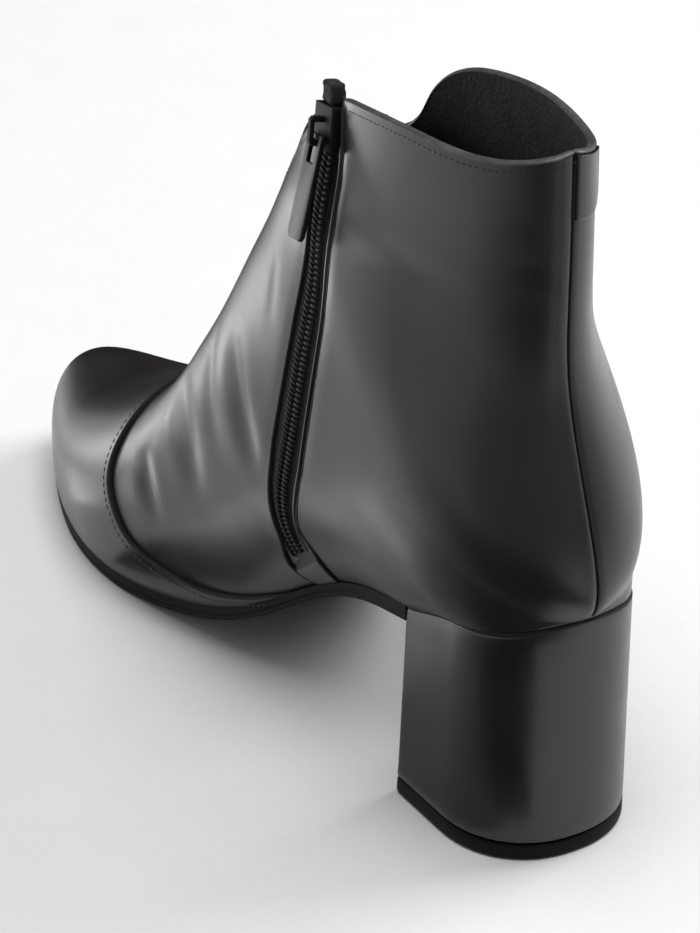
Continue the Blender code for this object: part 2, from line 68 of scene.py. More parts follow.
Section = namedtuple("Section", "name low_x low_z top_x top_z half sole_half lean full")
SECTIONS = (
    Section("tip",      1.000, 0.162, 1.000, 0.075,  0.000, 0.000,  4.3, 0.45),
    Section("nose",     0.986, 0.150, 0.986, 0.131,  0.209, 0.195,  4.0, 0.45),
    Section("toe",      0.947, 0.122, 0.943, 0.164,  0.433, 0.420,  3.3, 0.42),
    Section("box",      0.883, 0.088, 0.874, 0.182,  0.674, 0.655,  2.1, 0.38),
    Section("cap",      0.794, 0.063, 0.781, 0.241,  0.901, 0.857,  0.8, 0.34),
    Section("ball",     0.692, 0.063, 0.688, 0.330,  1.000, 0.916, -0.3, 0.30),
    Section("waist1",   0.575, 0.129, 0.628, 0.448,  0.959, 0.791, -0.6, 0.30),
    Section("waist2",   0.457, 0.326, 0.591, 0.542,  0.898, 0.667, -0.6, 0.32),
    Section("waist3",   0.332, 0.623, 0.561, 0.622,  0.855, 0.522, -0.3, 0.34),
    Section("breast",   0.194, 0.790, 0.534, 0.692,  0.830, 0.562,  0.0, 0.36),
    Section("seat",     0.105, 0.899, 0.514, 0.751,  0.809, 0.585,  0.0, 0.36),
    Section("long",     0.004, 1.000, 0.496, 0.804,  0.784, 0.000,  0.0, 0.36),
    Section("bulge",    0.002, 1.319, 0.482, 0.858,  0.718, 0.000,  0.0, 0.40),
    Section("achilles", 0.045, 1.783, 0.466, 0.917,  0.570, 0.000,  0.0, 0.45),
    Section("ankle",    0.051, 2.217, 0.449, 0.981,  0.517, 0.000,  0.0, 0.48),
    Section("top",      0.049, 2.841, 0.437, 1.094,  0.496, 0.000,  0.0, 0.50),
)
ROW = {section.name: number for number, section in enumerate(SECTIONS)}
print("sections of the last:", len(SECTIONS))

# %% [markdown]
# Every column of that table becomes one smooth curve over the section number. A natural cubic is enough, and
# numpy solves it in a few lines. A mirrored row before the tip makes the nose close round.

# %% Smooth curves over the sections
class Spline:
    """Natural cubic curve through one value at each knot."""

    def __init__(self, knots, values):
        self.knots = np.array(knots, float)
        self.values = np.array(values, float)
        count = len(knots)
        step = np.diff(self.knots)
        slope = np.diff(self.values) / step
        system = np.eye(count)
        right = np.zeros(count)
        for i in range(1, count - 1):
            system[i, i - 1:i + 2] = step[i - 1], 2 * (step[i - 1] + step[i]), step[i]
            right[i] = 3 * (slope[i] - slope[i - 1])
        self.bend = np.linalg.solve(system, right)
        self.cubic = np.diff(self.bend) / (3 * step)
        self.linear = slope - step * (2 * self.bend[:-1] + self.bend[1:]) / 3

    def __call__(self, at):
        i = np.clip(np.searchsorted(self.knots, at, side="right") - 1, 0, len(self.knots) - 2)
        t = at - self.knots[i]
        return self.values[i] + t * (self.linear[i] + t * (self.bend[i] + t * self.cubic[i]))


def section_curves():
    size = {
        "low_x": LENGTH, "top_x": LENGTH, "low_z": HEEL_HEIGHT, "top_z": SHAFT_HEIGHT,
        "half": BALL_WIDTH / 2, "sole_half": BALL_WIDTH / 2, "lean": 1.0, "full": 1.0,
    }
    curves = {}
    for column, unit in size.items():
        rows = SECTIONS[:ROW["long"]] if column == "sole_half" else SECTIONS
        values = [unit * getattr(row, column) for row in rows]
        mirrored = -values[1] if column in ("half", "sole_half") else values[1]
        curves[column] = Spline(range(-1, len(rows)), [mirrored] + values)
    return curves


CURVE = section_curves()
print("curves of the last:", ", ".join(CURVE))

# %% [markdown]
# The skin of the last is then a table: for many section numbers s, the points of half a section by their share
# of the girth. Looking a point up is quick, even for tens of thousands of points at once. A point is named by
# s and by u, which runs from -1 at the outer low edge over the ridge at 0 to 1 at the inner low edge.

# %% The skin of the last
def sole_half(s):
    """Half width of the featherline. Its heel end, from the seat to the back, is half an ellipse."""
    if s >= ROW["long"]:
        return 0.0
    if s <= ROW["seat"]:
        return max(CURVE["sole_half"](s), 0.0)
    seat_x, back_x = CURVE["low_x"](ROW["seat"]), CURVE["low_x"](ROW["long"])
    share = (seat_x - CURVE["low_x"](s)) / (seat_x - back_x)
    return CURVE["sole_half"](ROW["seat"]) * math.sqrt(max(0.0, 1 - share * share))


TABLE_SHARE = np.linspace(0, 1, 161)


def half_section(s):
    """Points of half a section at even shares of its girth, and that girth."""
    foot = sole_half(s)
    widest = max(CURVE["half"](s), foot + 0.1 * min(s, 1.0))
    full = CURVE["full"](s)
    start = np.interp(s, STEEP_RUN, STEEP_FOOT) * math.asin(foot / widest)
    under = np.linspace(start, math.pi / 2, 40)
    over = np.linspace(0, math.pi / 2, 40)[1:]
    grow = (np.sin(under) - math.sin(start)) / (1 - math.sin(start))
    rise = np.concatenate((full * (1 - np.cos(under) / math.cos(start)), full + (1 - full) * np.sin(over)))
    spread = np.concatenate((foot + (widest - foot) * grow, widest * np.cos(over)))
    low = np.array((CURVE["low_x"](s), CURVE["low_z"](s)))
    top = np.array((CURVE["top_x"](s), CURVE["top_z"](s)))
    girth = np.concatenate(((0.0,), np.cumsum(np.hypot(np.diff(rise) * np.hypot(*(top - low)), np.diff(spread)))))
    rise = np.interp(TABLE_SHARE, girth / girth[-1], rise)
    spread = np.interp(TABLE_SHARE, girth / girth[-1], spread)
    x, z = low[:, None] + (top - low)[:, None] * rise
    return np.stack((x, spread, z), axis=1), girth[-1]


TABLE_S = np.unique(np.round(np.concatenate((
    np.linspace(0.001, ROW["seat"], 500),
    ROW["seat"] + np.sin(np.linspace(0, math.pi / 2, 60)),
    np.linspace(ROW["long"], ROW["top"] + 0.8, 240))), 6))
HALVES = [half_section(s) for s in TABLE_S]
TABLE_POINT = np.array([points for points, girth in HALVES])
TABLE_GIRTH = np.array([girth for points, girth in HALVES])
TABLE_LEAN = CURVE["lean"](TABLE_S)


def skin(s, u):
    """Points of the skin at arrays of s and u."""
    s, u = np.broadcast_arrays(np.clip(s, TABLE_S[0], TABLE_S[-1]), np.asarray(u, float))
    i = np.clip(np.searchsorted(TABLE_S, s, side="right") - 1, 0, len(TABLE_S) - 2)
    f = ((s - TABLE_S[i]) / (TABLE_S[i + 1] - TABLE_S[i]))[..., None]
    at = (1 - np.minimum(np.abs(u), 1.0)) * (len(TABLE_SHARE) - 1)
    j = np.clip(at.astype(int), 0, len(TABLE_SHARE) - 2)
    g = (at - j)[..., None]
    near = TABLE_POINT[i, j] * (1 - g) + TABLE_POINT[i, j + 1] * g
    far = TABLE_POINT[i + 1, j] * (1 - g) + TABLE_POINT[i + 1, j + 1] * g
    point = near * (1 - f) + far * f
    point[..., 1] = np.interp(s, TABLE_S, TABLE_LEAN) + np.copysign(point[..., 1], u)
    return point


def girth_share(s, distance):
    """The u at a distance in millimetres from the ridge, measured over the skin."""
    return distance / np.interp(s, TABLE_S, TABLE_GIRTH)


print("points in the skin's table:", TABLE_POINT.shape[0] * TABLE_POINT.shape[1])

# %% Directions on the skin
def unit(vectors):
    return vectors / np.maximum(np.linalg.norm(vectors, axis=-1, keepdims=True), 1e-9)


def skin_along(s, u):
    """How the skin moves with s."""
    s0, s1 = np.maximum(s - 0.03, 0.001), s + 0.03
    return (skin(s1, u) - skin(s0, u)) / np.asarray(s1 - s0)[..., None]


def outward(s, u):
    """Unit vectors out of the skin. The tip is a short upright line that faces straight ahead."""
    s, u = np.broadcast_arrays(np.asarray(s, float), np.asarray(u, float))
    around = skin(s, np.minimum(u + 0.01, 1.0)) - skin(s, np.maximum(u - 0.01, -1.0))
    normal = unit(np.cross(around, skin_along(s, u)))
    normal[s < 0.01] = (1.0, 0.0, 0.0)
    return normal


def nearest_gap(points, path):
    """Distance of each point from the nearest point of a path."""
    return np.linalg.norm(points[:, None] - path[None], axis=2).min(axis=1)


def over_skin(s, u, height):
    return skin(s, u) + outward(s, u) * np.asarray(height, float)[..., None]


def off_ridge(s, distance, height=0.0):
    """Points at a distance from the ridge over the skin, lifted by height."""
    return over_skin(s, girth_share(s, distance), height)


print("the back of the heel faces", np.round(outward(11.5, 1.0), 2))

# %% [markdown]
# ## Tools of this workshop
# Each piece starts as a plain grid from bmesh, whose points are then put where a function of the two shares
# across and along says. The result is made an object that sits at the origin, rides on its body, and
# takes the place of its plain solid.

# %% Making a piece
def placed(points):
    """Pattern points in millimetres as points of the scene in metres."""
    return (np.asarray(points) - ORIGIN) * MM


def move_to(verts, points):
    for vertex, point in zip(verts, placed(points)):
        vertex.co = point


def mapped_grid(columns, rows, place):
    """A grid whose point at shares a across and b along is put where place(a, b) says, with doubles merged."""
    bm = bmesh.new()
    bmesh.ops.create_grid(bm, x_segments=columns, y_segments=rows, size=1.0)
    flat = np.array([vertex.co[:2] for vertex in bm.verts])
    move_to(bm.verts, place((flat[:, 0] + 1) / 2, (flat[:, 1] + 1) / 2))
    bmesh.ops.remove_doubles(bm, verts=bm.verts, dist=0.02 * MM)
    bmesh.ops.dissolve_degenerate(bm, edges=bm.edges, dist=0.01 * MM)
    return bm


def close_up(bm):
    """Fills the open ends and turns all faces outwards."""
    bmesh.ops.holes_fill(bm, edges=bm.edges, sides=0)
    bmesh.ops.recalc_face_normals(bm, faces=bm.faces)
    return bm


def add_object(name, bm, *materials, sharp=40):
    mesh = bpy.data.meshes.new(name)
    for face in bm.faces:
        face.smooth = True
    bm.to_mesh(mesh)
    bm.free()
    mesh.set_sharp_from_angle(angle=math.radians(sharp))
    for material in materials:
        mesh.materials.append(material)
    made = bpy.data.objects.new(name, mesh)
    bpy.context.scene.collection.objects.link(made)
    return made


def wear(piece, slot, *nodes, body="boot"):
    """Puts a finished piece on its body in place of its plain solids."""
    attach(piece, body)
    if nodes:
        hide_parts(*nodes)
    print(piece.name, "faces:", len(piece.data.polygons))


def baked(piece):
    """Replaces a piece's mesh by what its modifiers make of it."""
    graph = bpy.context.evaluated_depsgraph_get()
    mesh = bpy.data.meshes.new_from_object(piece.evaluated_get(graph))
    piece.modifiers.clear()
    piece.data = mesh
    mesh.set_sharp_from_angle(angle=math.radians(40))


def walled(piece, thick, inside=0):
    """A wall behind a sheet. inside is the material of its inner face, counted from the outer one."""
    wall = piece.modifiers.new("wall", "SOLIDIFY")
    wall.thickness = thick * MM
    wall.offset = -1.0
    wall.use_quality_normals = True
    wall.material_offset = inside
    return piece


def eased(t):
    """0 to 1 in closer steps at both ends."""
    return t - 0.45 * np.sin(2 * math.pi * t) / (2 * math.pi)

# %% [markdown]
# ## Finishes
# A small function adds a node, sets it and links it, so that a finish reads as a list of what the eye sees.
# Colours are picked as on a screen, in hex, and turned to linear light.

# %% Node and colour helpers
def linear(hex_colour):
    channels = [int(hex_colour[i:i + 2], 16) / 255 for i in (1, 3, 5)]
    return tuple(c / 12.92 if c <= 0.04045 else ((c + 0.055) / 1.055) ** 2.4 for c in channels) + (1.0,)


def add_node(material, kind, links=(), **settings):
    """Adds a node. Settings that name an input set it, others set the node itself; links lists input, output."""
    tree = material.node_tree
    node = tree.nodes.new(kind)
    for name, value in settings.items():
        if hasattr(node, name):
            setattr(node, name, value)
        else:
            node.inputs[name.replace("_", " ")].default_value = value
    for socket, output in links:
        tree.links.new(node.inputs[socket], output)
    return node


def new_finish(name, colour, **sockets):
    material = bpy.data.materials.new(name)
    material.use_nodes = True
    shader = material.node_tree.nodes["Principled BSDF"]
    shader.inputs["Base Color"].default_value = linear(colour)
    for socket, value in sockets.items():
        shader.inputs[socket.replace("_", " ")].default_value = value
    return material, shader


def per_metre(millimetres):
    """Texture scale at which one cell is as wide as the size given."""
    return 1 / (millimetres * MM)

# %% [markdown]
# The boot is made of calf leather with a pigmented, lightly plated finish: near black, satin, with a fine pore
# grain about 0.7 mm wide and a slow unevenness of gloss where hands and lasts have rubbed it.

# %% Calf leather
GRAIN = 0.7
RUB = 22.0


def calf_leather(name, colour, dull, roughness, grain_depth):
    material, shader = new_finish(name, colour, IOR=1.5, Coat_Weight=0.35, Coat_Roughness=0.30, Coat_IOR=1.45)
    where = add_node(material, "ShaderNodeTexCoord").outputs["Object"]
    pores = add_node(material, "ShaderNodeTexVoronoi", [("Vector", where)], feature="SMOOTH_F1",
                     Scale=per_metre(GRAIN), Smoothness=0.6)
    fine = add_node(material, "ShaderNodeTexNoise", [("Vector", where)], Scale=per_metre(GRAIN * 2.5), Detail=4.0)
    rubbed = add_node(material, "ShaderNodeTexNoise", [("Vector", where)], Scale=per_metre(RUB), Detail=3.0)
    relief = add_node(material, "ShaderNodeMath", [(0, pores.outputs["Distance"]), (1, fine.outputs["Fac"])],
                      operation="ADD")
    bump = add_node(material, "ShaderNodeBump", [("Height", relief.outputs[0])], Strength=grain_depth,
                    Distance=0.15 * MM)
    gloss = add_node(material, "ShaderNodeMapRange", [("Value", rubbed.outputs["Fac"])], From_Min=0.3, From_Max=0.7,
                     To_Min=roughness - 0.06, To_Max=roughness + 0.07)
    tint = add_node(material, "ShaderNodeMix", [("Factor", rubbed.outputs["Fac"])], data_type="RGBA")
    tint.inputs["A"].default_value = linear(colour)
    tint.inputs["B"].default_value = linear(dull)
    tree = material.node_tree
    tree.links.new(shader.inputs["Base Color"], tint.outputs["Result"])
    tree.links.new(shader.inputs["Roughness"], gloss.outputs["Result"])
    tree.links.new(shader.inputs["Normal"], bump.outputs["Normal"])
    return material


# Upper and cap: satin, with soft broad highlights that show every fold.
upper_leather = calf_leather("black plated calf leather", "#130e10", "#1b1618", 0.38, 0.12)
# The heel: the same hide drawn tight, so a little smoother.
heel_leather = calf_leather("black calf leather on the heel", "#130e10", "#1a1517", 0.37, 0.10)
print("finishes:", upper_leather.name, "and", heel_leather.name)

# %% [markdown]
# The inside is lined with a split leather whose nap is turned out, so it is matte and mottled. The gore is a
# ribbed elastic, the zip tape a herringbone weave, the zip chain nylon, the sole a moulded rubber, the zip's
# runner enamelled zinc and its pull nickel-plated. None of them needs an image: noise at the real scale does it.

# %% Other finishes
def matte_finish(name, colour, dull, roughness, cell, depth, **sockets):
    """A rough finish whose colour and surface vary in cells of a size in millimetres."""
    material, shader = new_finish(name, colour, Roughness=roughness, **sockets)
    where = add_node(material, "ShaderNodeTexCoord").outputs["Object"]
    grain = add_node(material, "ShaderNodeTexNoise", [("Vector", where)], Scale=per_metre(cell), Detail=5.0)
    patch = add_node(material, "ShaderNodeTexNoise", [("Vector", where)], Scale=per_metre(cell * 9), Detail=3.0)
    mixed = add_node(material, "ShaderNodeMath", [(0, grain.outputs["Fac"]), (1, patch.outputs["Fac"])],
                     operation="MULTIPLY")
    spread = add_node(material, "ShaderNodeMapRange", [("Value", mixed.outputs[0])], From_Min=0.15, From_Max=0.40)
    tint = add_node(material, "ShaderNodeMix", [("Factor", spread.outputs["Result"])], data_type="RGBA")
    tint.inputs["A"].default_value = linear(colour)
    tint.inputs["B"].default_value = linear(dull)
    bump = add_node(material, "ShaderNodeBump", [("Height", grain.outputs["Fac"])], Strength=depth,
                    Distance=0.3 * MM)
    material.node_tree.links.new(shader.inputs["Base Color"], tint.outputs["Result"])
    material.node_tree.links.new(shader.inputs["Normal"], bump.outputs["Normal"])
    return material


# The inside: dull and mottled, so that it falls into shadow.
lining = matte_finish("black split leather lining", "#1b1a1a", "#3e3b3a", 0.75, 1.1, 0.8, IOR=1.45)
# The gore: the deepest black, with no gloss at all.
elastic = matte_finish("black ribbed elastic", "#0d0d0d", "#1b1a1a", 0.9, 0.5, 0.5, IOR=1.45)
# The tape: a dark ground for the zip's chain.
woven_tape = matte_finish("black woven polyester tape", "#080808", "#151515", 0.85, 0.4, 0.6, IOR=1.5)
# The chain: a small soft glint on every bar.
nylon = matte_finish("black nylon", "#050505", "#0c0c0c", 0.6, 0.8, 0.1, Specular_IOR_Level=0.35)
# Stitches at collar and gore: a trace lighter than the leather.
thread = matte_finish("black bonded thread", "#161516", "#222122", 0.45, 0.3, 0.2, IOR=1.5)
# Stitches of the cap: they shine as the leather does, so they hardly show.
waxed_thread = matte_finish("black waxed thread", "#161213", "#1e1a1b", 0.38, 0.3, 0.05, IOR=1.5,
                            Coat_Weight=0.35, Coat_Roughness=0.30)
# Cut edges and gaps: a flat black line, partly edge dye and partly painted shade.
dye_and_shade = matte_finish("black edge dye and painted shade", "#050505", "#0a0a0a", 0.75, 0.6, 0.3, IOR=1.45)
# The sole: matte, with a faint grey bloom.
rubber = matte_finish("black moulded rubber", "#050505", "#0b0b0b", 0.75, 0.9, 0.35, Specular_IOR_Level=0.25)
# The pull: a dark metal sheen.
nickel = matte_finish("black nickel plate", "#2a292a", "#353435", 0.42, 1.5, 0.05, Metallic=1.0)
# The runner: nearly lost against the tape.
enamel = matte_finish("black enamel on zinc", "#040404", "#090909", 0.6, 1.5, 0.05, Specular_IOR_Level=0.2)
# The heel's lift: a black band under the leather.
lift_rubber = matte_finish("black dense rubber", "#050505", "#0a0a0a", 0.6, 0.9, 0.2, Specular_IOR_Level=0.15)
# The collar's edge: grey, a painted highlight that draws a light rim.
collar_rim_highlight = matte_finish("grey collar edge with painted highlight", "#3a3839", "#585556", 0.36, 2.0, 0.1, IOR=1.5)
# The heel's breast: a soft nap without any shine.
suede = matte_finish("black suede", "#100f0f", "#242222", 0.95, 1.0, 0.7, IOR=1.45)
print("finishes:", ", ".join(finish.name for finish in (
    lining, elastic, woven_tape, nylon, thread, waxed_thread, dye_and_shade, rubber, nickel, enamel, lift_rubber,
    collar_rim_highlight, suede)))

# %% [markdown]
# ## Lines on the leather
# The collar, the zip and the cap's edge are lines on the skin, so each is a short table in the last's own
# sizes. The same lines place the cuts, the folded edges and the stitches. On the outer side the collar falls a
# little beside the gore.

# %% The collar's line
CollarPoint = namedtuple("CollarPoint", "girth height")
COLLAR = (
    CollarPoint(0.00, 1.000),
    CollarPoint(0.20, 0.973),
    CollarPoint(0.42, 0.965),
    CollarPoint(0.60, 0.949),
    CollarPoint(0.72, 0.930),
    CollarPoint(0.79, 0.903),
    CollarPoint(0.88, 0.823),
    CollarPoint(1.00, 0.828),
)
OUTER_FALL, FALL_AT, FALL_REACH = 6.0, 0.16, 0.09
COLLAR_CURVE = Spline([p.girth for p in COLLAR], [p.height * SHAFT_HEIGHT for p in COLLAR])


def collar_section(u):
    """The section at which the collar crosses the lines u."""
    u = np.asarray(u, float)
    fall = OUTER_FALL * np.exp(-((FALL_AT - np.abs(u)) / FALL_REACH) ** 2) * (u < 0)
    height = COLLAR_CURVE(1 - np.abs(u)) - fall
    low, high = np.full(u.shape, float(ROW["long"])), np.full(u.shape, float(ROW["top"]))
    for _ in range(30):
        middle = (low + high) / 2
        below = skin(middle, u)[..., 2] < height
        low, high = np.where(below, middle, low), np.where(below, high, middle)
    return low


print("collar at the back:", round(float(skin(collar_section(1.0), 1.0)[2]), 1), "mm")

# %% The zip's line
ZipPoint = namedtuple("ZipPoint", "section from_ridge")
ZIP = (
    ZipPoint(13.99, 0.315),
    ZipPoint(13.25, 0.412),
    ZipPoint(12.46, 0.526),
    ZipPoint(11.63, 0.632),
    ZipPoint(10.73, 0.730),
    ZipPoint(9.91, 0.835),
    ZipPoint(9.13, 0.928),
    ZipPoint(8.55, 1.019),
    ZipPoint(8.14, 1.122),
    ZipPoint(7.93, 1.272),
)
ZIP_SECTION = Spline(np.linspace(0, 1, len(ZIP)), [p.section for p in ZIP])
ZIP_FROM_RIDGE = Spline(np.linspace(0, 1, len(ZIP)), [p.from_ridge * BALL_WIDTH for p in ZIP])
SLOT_HALF = 7.4
SLOT_FOOT_HALF = 4.2
SLOT_TAPERS_AT = 0.75


def zip_point(t):
    return off_ridge(ZIP_SECTION(t), ZIP_FROM_RIDGE(t))


def zip_frame(t):
    """Points of the zip's middle line and unit vectors across it, up along it and out of the skin."""
    t = np.asarray(t, float)
    s = ZIP_SECTION(t)
    up = zip_point(np.maximum(t - 0.01, 0.0)) - zip_point(np.minimum(t + 0.01, 1.0))
    out = outward(s, girth_share(s, ZIP_FROM_RIDGE(t)))
    up = unit(up - out * np.sum(up * out, axis=-1, keepdims=True))
    return zip_point(t), np.cross(up, out), up, out


def zip_narrowing(t):
    """Share of its full width that the zip has at t: it narrows towards its foot."""
    foot = np.maximum(0.0, (t - SLOT_TAPERS_AT) / (1 - SLOT_TAPERS_AT))
    return 1 - foot * (1 - SLOT_FOOT_HALF / SLOT_HALF)


def zip_side(t, across):
    """Section and distance from the ridge of the places at a distance across from the zip's middle."""
    t, across = np.broadcast_arrays(np.asarray(t, float), across)
    s, distance = ZIP_SECTION(t), ZIP_FROM_RIDGE(t)
    along = (off_ridge(s + 0.02, distance) - off_ridge(s - 0.02, distance)) / 0.04
    around = off_ridge(s, distance + 0.5) - off_ridge(s, distance - 0.5)
    target = zip_frame(t)[1] * across[..., None]
    aa, ar, rr = (np.sum(p * q, axis=-1) for p, q in ((along, along), (along, around), (around, around)))
    ta, tr = np.sum(target * along, axis=-1), np.sum(target * around, axis=-1)
    size = aa * rr - ar * ar
    return s + (ta * rr - tr * ar) / size, distance + (tr * aa - ta * ar) / size


def beside_zip(t, across, height):
    """Points of the skin at a distance across from the zip's middle, lifted by height."""
    s, distance = zip_side(t, across)
    return off_ridge(s, distance, np.broadcast_to(height, s.shape))


ZIP_SHARES = np.linspace(0, 1, 401)
ZIP_LENGTH = float(np.sum(np.linalg.norm(np.diff(zip_point(ZIP_SHARES), axis=0), axis=1)))
ZIP_S = ZIP_SECTION(ZIP_SHARES)
above = ZIP_S > collar_section(girth_share(ZIP_S, ZIP_FROM_RIDGE(ZIP_SHARES)))
ZIP_TOP = float(ZIP_SHARES[np.argmin(above)])
print("zip length", round(ZIP_LENGTH, 1), "mm, collar at share", round(ZIP_TOP, 3))

# %% The cap's edge and the gore's notch
CapPoint = namedtuple("CapPoint", "girth section")
CAP_EDGE = (
    CapPoint(0.00, 7.40),
    CapPoint(0.05, 6.60),
    CapPoint(0.10, 6.15),
    CapPoint(0.16, 5.65),
    CapPoint(0.25, 5.28),
    CapPoint(0.37, 5.00),
    CapPoint(0.53, 4.85),
    CapPoint(0.76, 4.73),
    CapPoint(1.00, 4.72),
)
CAP_CURVE = Spline([p.girth for p in CAP_EDGE], [p.section for p in CAP_EDGE])
GORE_TIP = 6.6
GORE_TOP = 11.4
GORE_HALF = 15.0


def gore_half(s):
    """Half width of the notch for the gore, in millimetres along the girth."""
    return GORE_HALF * (s - GORE_TIP) / (GORE_TOP - GORE_TIP)


print("gore reaches from", np.round(skin(GORE_TIP, 0.0), 1), "to", np.round(skin(GORE_TOP, 0.0), 1))

# %% [markdown]
# ## Creases
# Leather that has been lasted and worn a little folds where the foot bends: in soft upright troughs across the
# vamp, and in shallow ones round the ankle. Each is placed between two points of the skin, with a depth and a
# width, and fades at its ends. A noise texture would wrinkle everywhere alike, which leather does not do.

# %% Table of creases
Crease = namedtuple("Crease", "start middle end depth width")
CREASES = (
    Crease((5.94, 0.32), (6.56, 0.47), (6.86, 0.69), 2.00, 5.6),
    Crease((8.02, 0.34), (8.04, 0.52), (8.03, 0.68), 1.90, 4.8),
    Crease((5.55, 0.50), (5.80, 0.62), (6.04, 0.74), 1.60, 3.8),
    Crease((7.20, 0.28), (7.30, 0.42), (7.42, 0.58), 0.80, 3.6),
    Crease((9.95, 0.25), (9.60, 0.31), (9.20, 0.37), 0.35, 2.4),
    Crease((6.00, -0.30), (6.40, -0.50), (6.65, -0.72), 1.00, 4.5),
    Crease((7.20, -0.32), (7.40, -0.52), (7.60, -0.72), 0.90, 4.5),
    Crease((8.50, -0.40), (8.75, -0.55), (8.90, -0.70), 0.60, 5.0),
    Crease((12.36, 0.35), (13.10, 0.54), (13.62, 0.82), 0.60, 3.6),
    Crease((12.50, -0.38), (13.10, -0.60), (13.50, -0.85), 0.80, 7.0),
    Crease((13.96, 0.86), (13.95, 0.93), (13.94, 0.99), 0.40, 3.0),
    Crease((14.19, 0.85), (14.22, 0.91), (14.25, 0.97), 0.35, 3.0),
)


def through(places, t):
    """Values at t of the parabola through three places at 0, a half and 1."""
    start, middle, end = places
    return start * (1 - t) * (1 - 2 * t) + middle * 4 * t * (1 - t) + end * t * (2 * t - 1)


def crease_path(crease, count=40):
    t = np.linspace(0, 1, count)
    s, u = (through(places, t) for places in zip(crease.start, crease.middle, crease.end))
    return skin(s, u)


ToeForm = namedtuple("ToeForm", "height section reach across")
TOE_FORMS = (ToeForm(1.5, 0.9, 0.7, 0.5), ToeForm(-1.2, 2.9, 1.0, 0.45))


def toe_relief(s, u):
    """The toe box is full at its front and drops a little towards the cap's seam."""
    return sum(form.height * np.exp(-((s - form.section) / form.reach) ** 2) * np.exp(-(u / form.across) ** 2)
               for form in TOE_FORMS)


RIDGE_SHARE, RIDGE_REACH = 0.45, 2.2


def crease_relief(points):
    """Height that the creases add at points of the skin: a trough with a low ridge on either side."""
    relief = np.zeros(len(points))
    for crease in CREASES:
        path = crease_path(crease)
        gaps = np.linalg.norm(points[:, None] - path[None], axis=2)
        nearest = np.argmin(gaps, axis=1)
        gap = gaps[np.arange(len(points)), nearest] / crease.width
        fade = np.sin(math.pi * np.clip(nearest / (len(path) - 1), 0.02, 0.98)) ** 0.7
        relief -= crease.depth * fade * (np.exp(-gap ** 2) - RIDGE_SHARE * np.exp(-(gap / RIDGE_REACH) ** 2))
    return relief


print("creases:", len(CREASES), "up to", max(c.depth for c in CREASES), "mm deep")

# %% [markdown]
# ## The upper
# On the real boot the vamp, the quarters and the shaft are sewn flat and pulled over the last. Here they are
# one sheet over the skin with a wall inside, whose inner face is the lining. Its rows follow the sections, and
# from the heel on they fan out to the collar.

# %% The upper's sheet
UPPER_COLUMNS = 180
SHAFT_ROWS = 44
FOOT_STATIONS = np.concatenate((
    (0.0, 0.35, 0.7),
    np.linspace(1, ROW["seat"], 116),
    ROW["seat"] + np.sin(np.linspace(0, math.pi / 2, 14))[1:]))
BACK_GROOVE, GROOVE_REACH = 0.7, 0.55
BACK_RIDGE, BACK_RIDGE_AT, BACK_RIDGE_REACH = 0.25, 1.8, 1.1
BACK_FROM, FAR_OFF = 0.8, 40.0
EDGE_PRESSED, PRESS_REACH = 0.4, 1.7


def back_seam_relief(points, u):
    """The closed seam down the back: a groove, and the inner quarter's edge standing a little proud of it."""
    beside = np.abs(points[:, 1]) + FAR_OFF * (np.abs(u) < BACK_FROM)
    groove = -BACK_GROOVE * np.exp(-(beside / GROOVE_REACH) ** 2)
    return groove + BACK_RIDGE * np.exp(-((beside - BACK_RIDGE_AT) / BACK_RIDGE_REACH) ** 2) * (u > 0)


def zip_edge_relief(points):
    """The leather is pared and pressed down towards the zip."""
    t = np.linspace(0, 1, 120)
    gaps = np.linalg.norm(points[:, None] - zip_point(t)[None], axis=2)
    beside = gaps.min(axis=1) - SLOT_HALF * zip_narrowing(t[np.argmin(gaps, axis=1)])
    return -EDGE_PRESSED * np.exp(-(np.maximum(beside, 0.0) / PRESS_REACH) ** 2)


def upper_place(a, b):
    u = 2 * eased(a) - 1
    row = b * (len(FOOT_STATIONS) - 1 + SHAFT_ROWS)
    last = len(FOOT_STATIONS) - 1
    foot = np.interp(row, np.arange(last + 1), FOOT_STATIONS)
    share = np.clip((row - last) / SHAFT_ROWS, 0, 1)
    s = np.where(row <= last, foot, ROW["long"] + share * (collar_section(u) - ROW["long"]))
    points = skin(s, u)
    relief = crease_relief(points) + toe_relief(s, u) + zip_edge_relief(points)
    relief += np.where(s > ROW["long"], back_seam_relief(points, u), 0.0)
    return points + outward(s, u) * relief[:, None]


rows = len(FOOT_STATIONS) - 1 + SHAFT_ROWS
upper = add_object("upper_shell", mapped_grid(UPPER_COLUMNS, rows, upper_place), upper_leather, lining)
walled(upper, WALL, inside=1)
print("upper sheet:", len(upper.data.vertices), "points")

# %% [markdown]
# The notch for the gore and the slot for the zip are cut out afterwards with two thick sheets, as they would be
# with a knife. A Boolean does this cleanly as long as the cutters reach well past both faces of the wall.

# %% Cut the notch and the slot
def cut_away(solid, bm):
    cutter = walled(add_object("cutter", bm, upper_leather), WALL + 4.0)
    knife = solid.modifiers.new("knife", "BOOLEAN")
    knife.operation = "DIFFERENCE"
    knife.solver = "EXACT"
    knife.object = cutter
    baked(solid)
    bpy.data.objects.remove(cutter, do_unlink=True)


def notch_place(a, b):
    s = GORE_TIP + b * (GORE_TOP + 1.6 - GORE_TIP)
    return off_ridge(s, (2 * a - 1) * gore_half(s), 2.0)


def slot_place(a, b):
    return beside_zip(1 - b, (2 * a - 1) * SLOT_HALF * zip_narrowing(1 - b), 2.0)


baked(upper)
cut_away(upper, mapped_grid(8, 60, notch_place))
cut_away(upper, mapped_grid(4, 120, slot_place))

# %% [markdown]
# A stiff counter keeps the leather round the heel even. Above the seat, the sections turn from the sole's edge to the
# back seam, and the light would show that turn as a line. A Smooth modifier evens it out, with a vertex group that
# says where: full along the turn, and nothing at the sole's edge and the back seam.

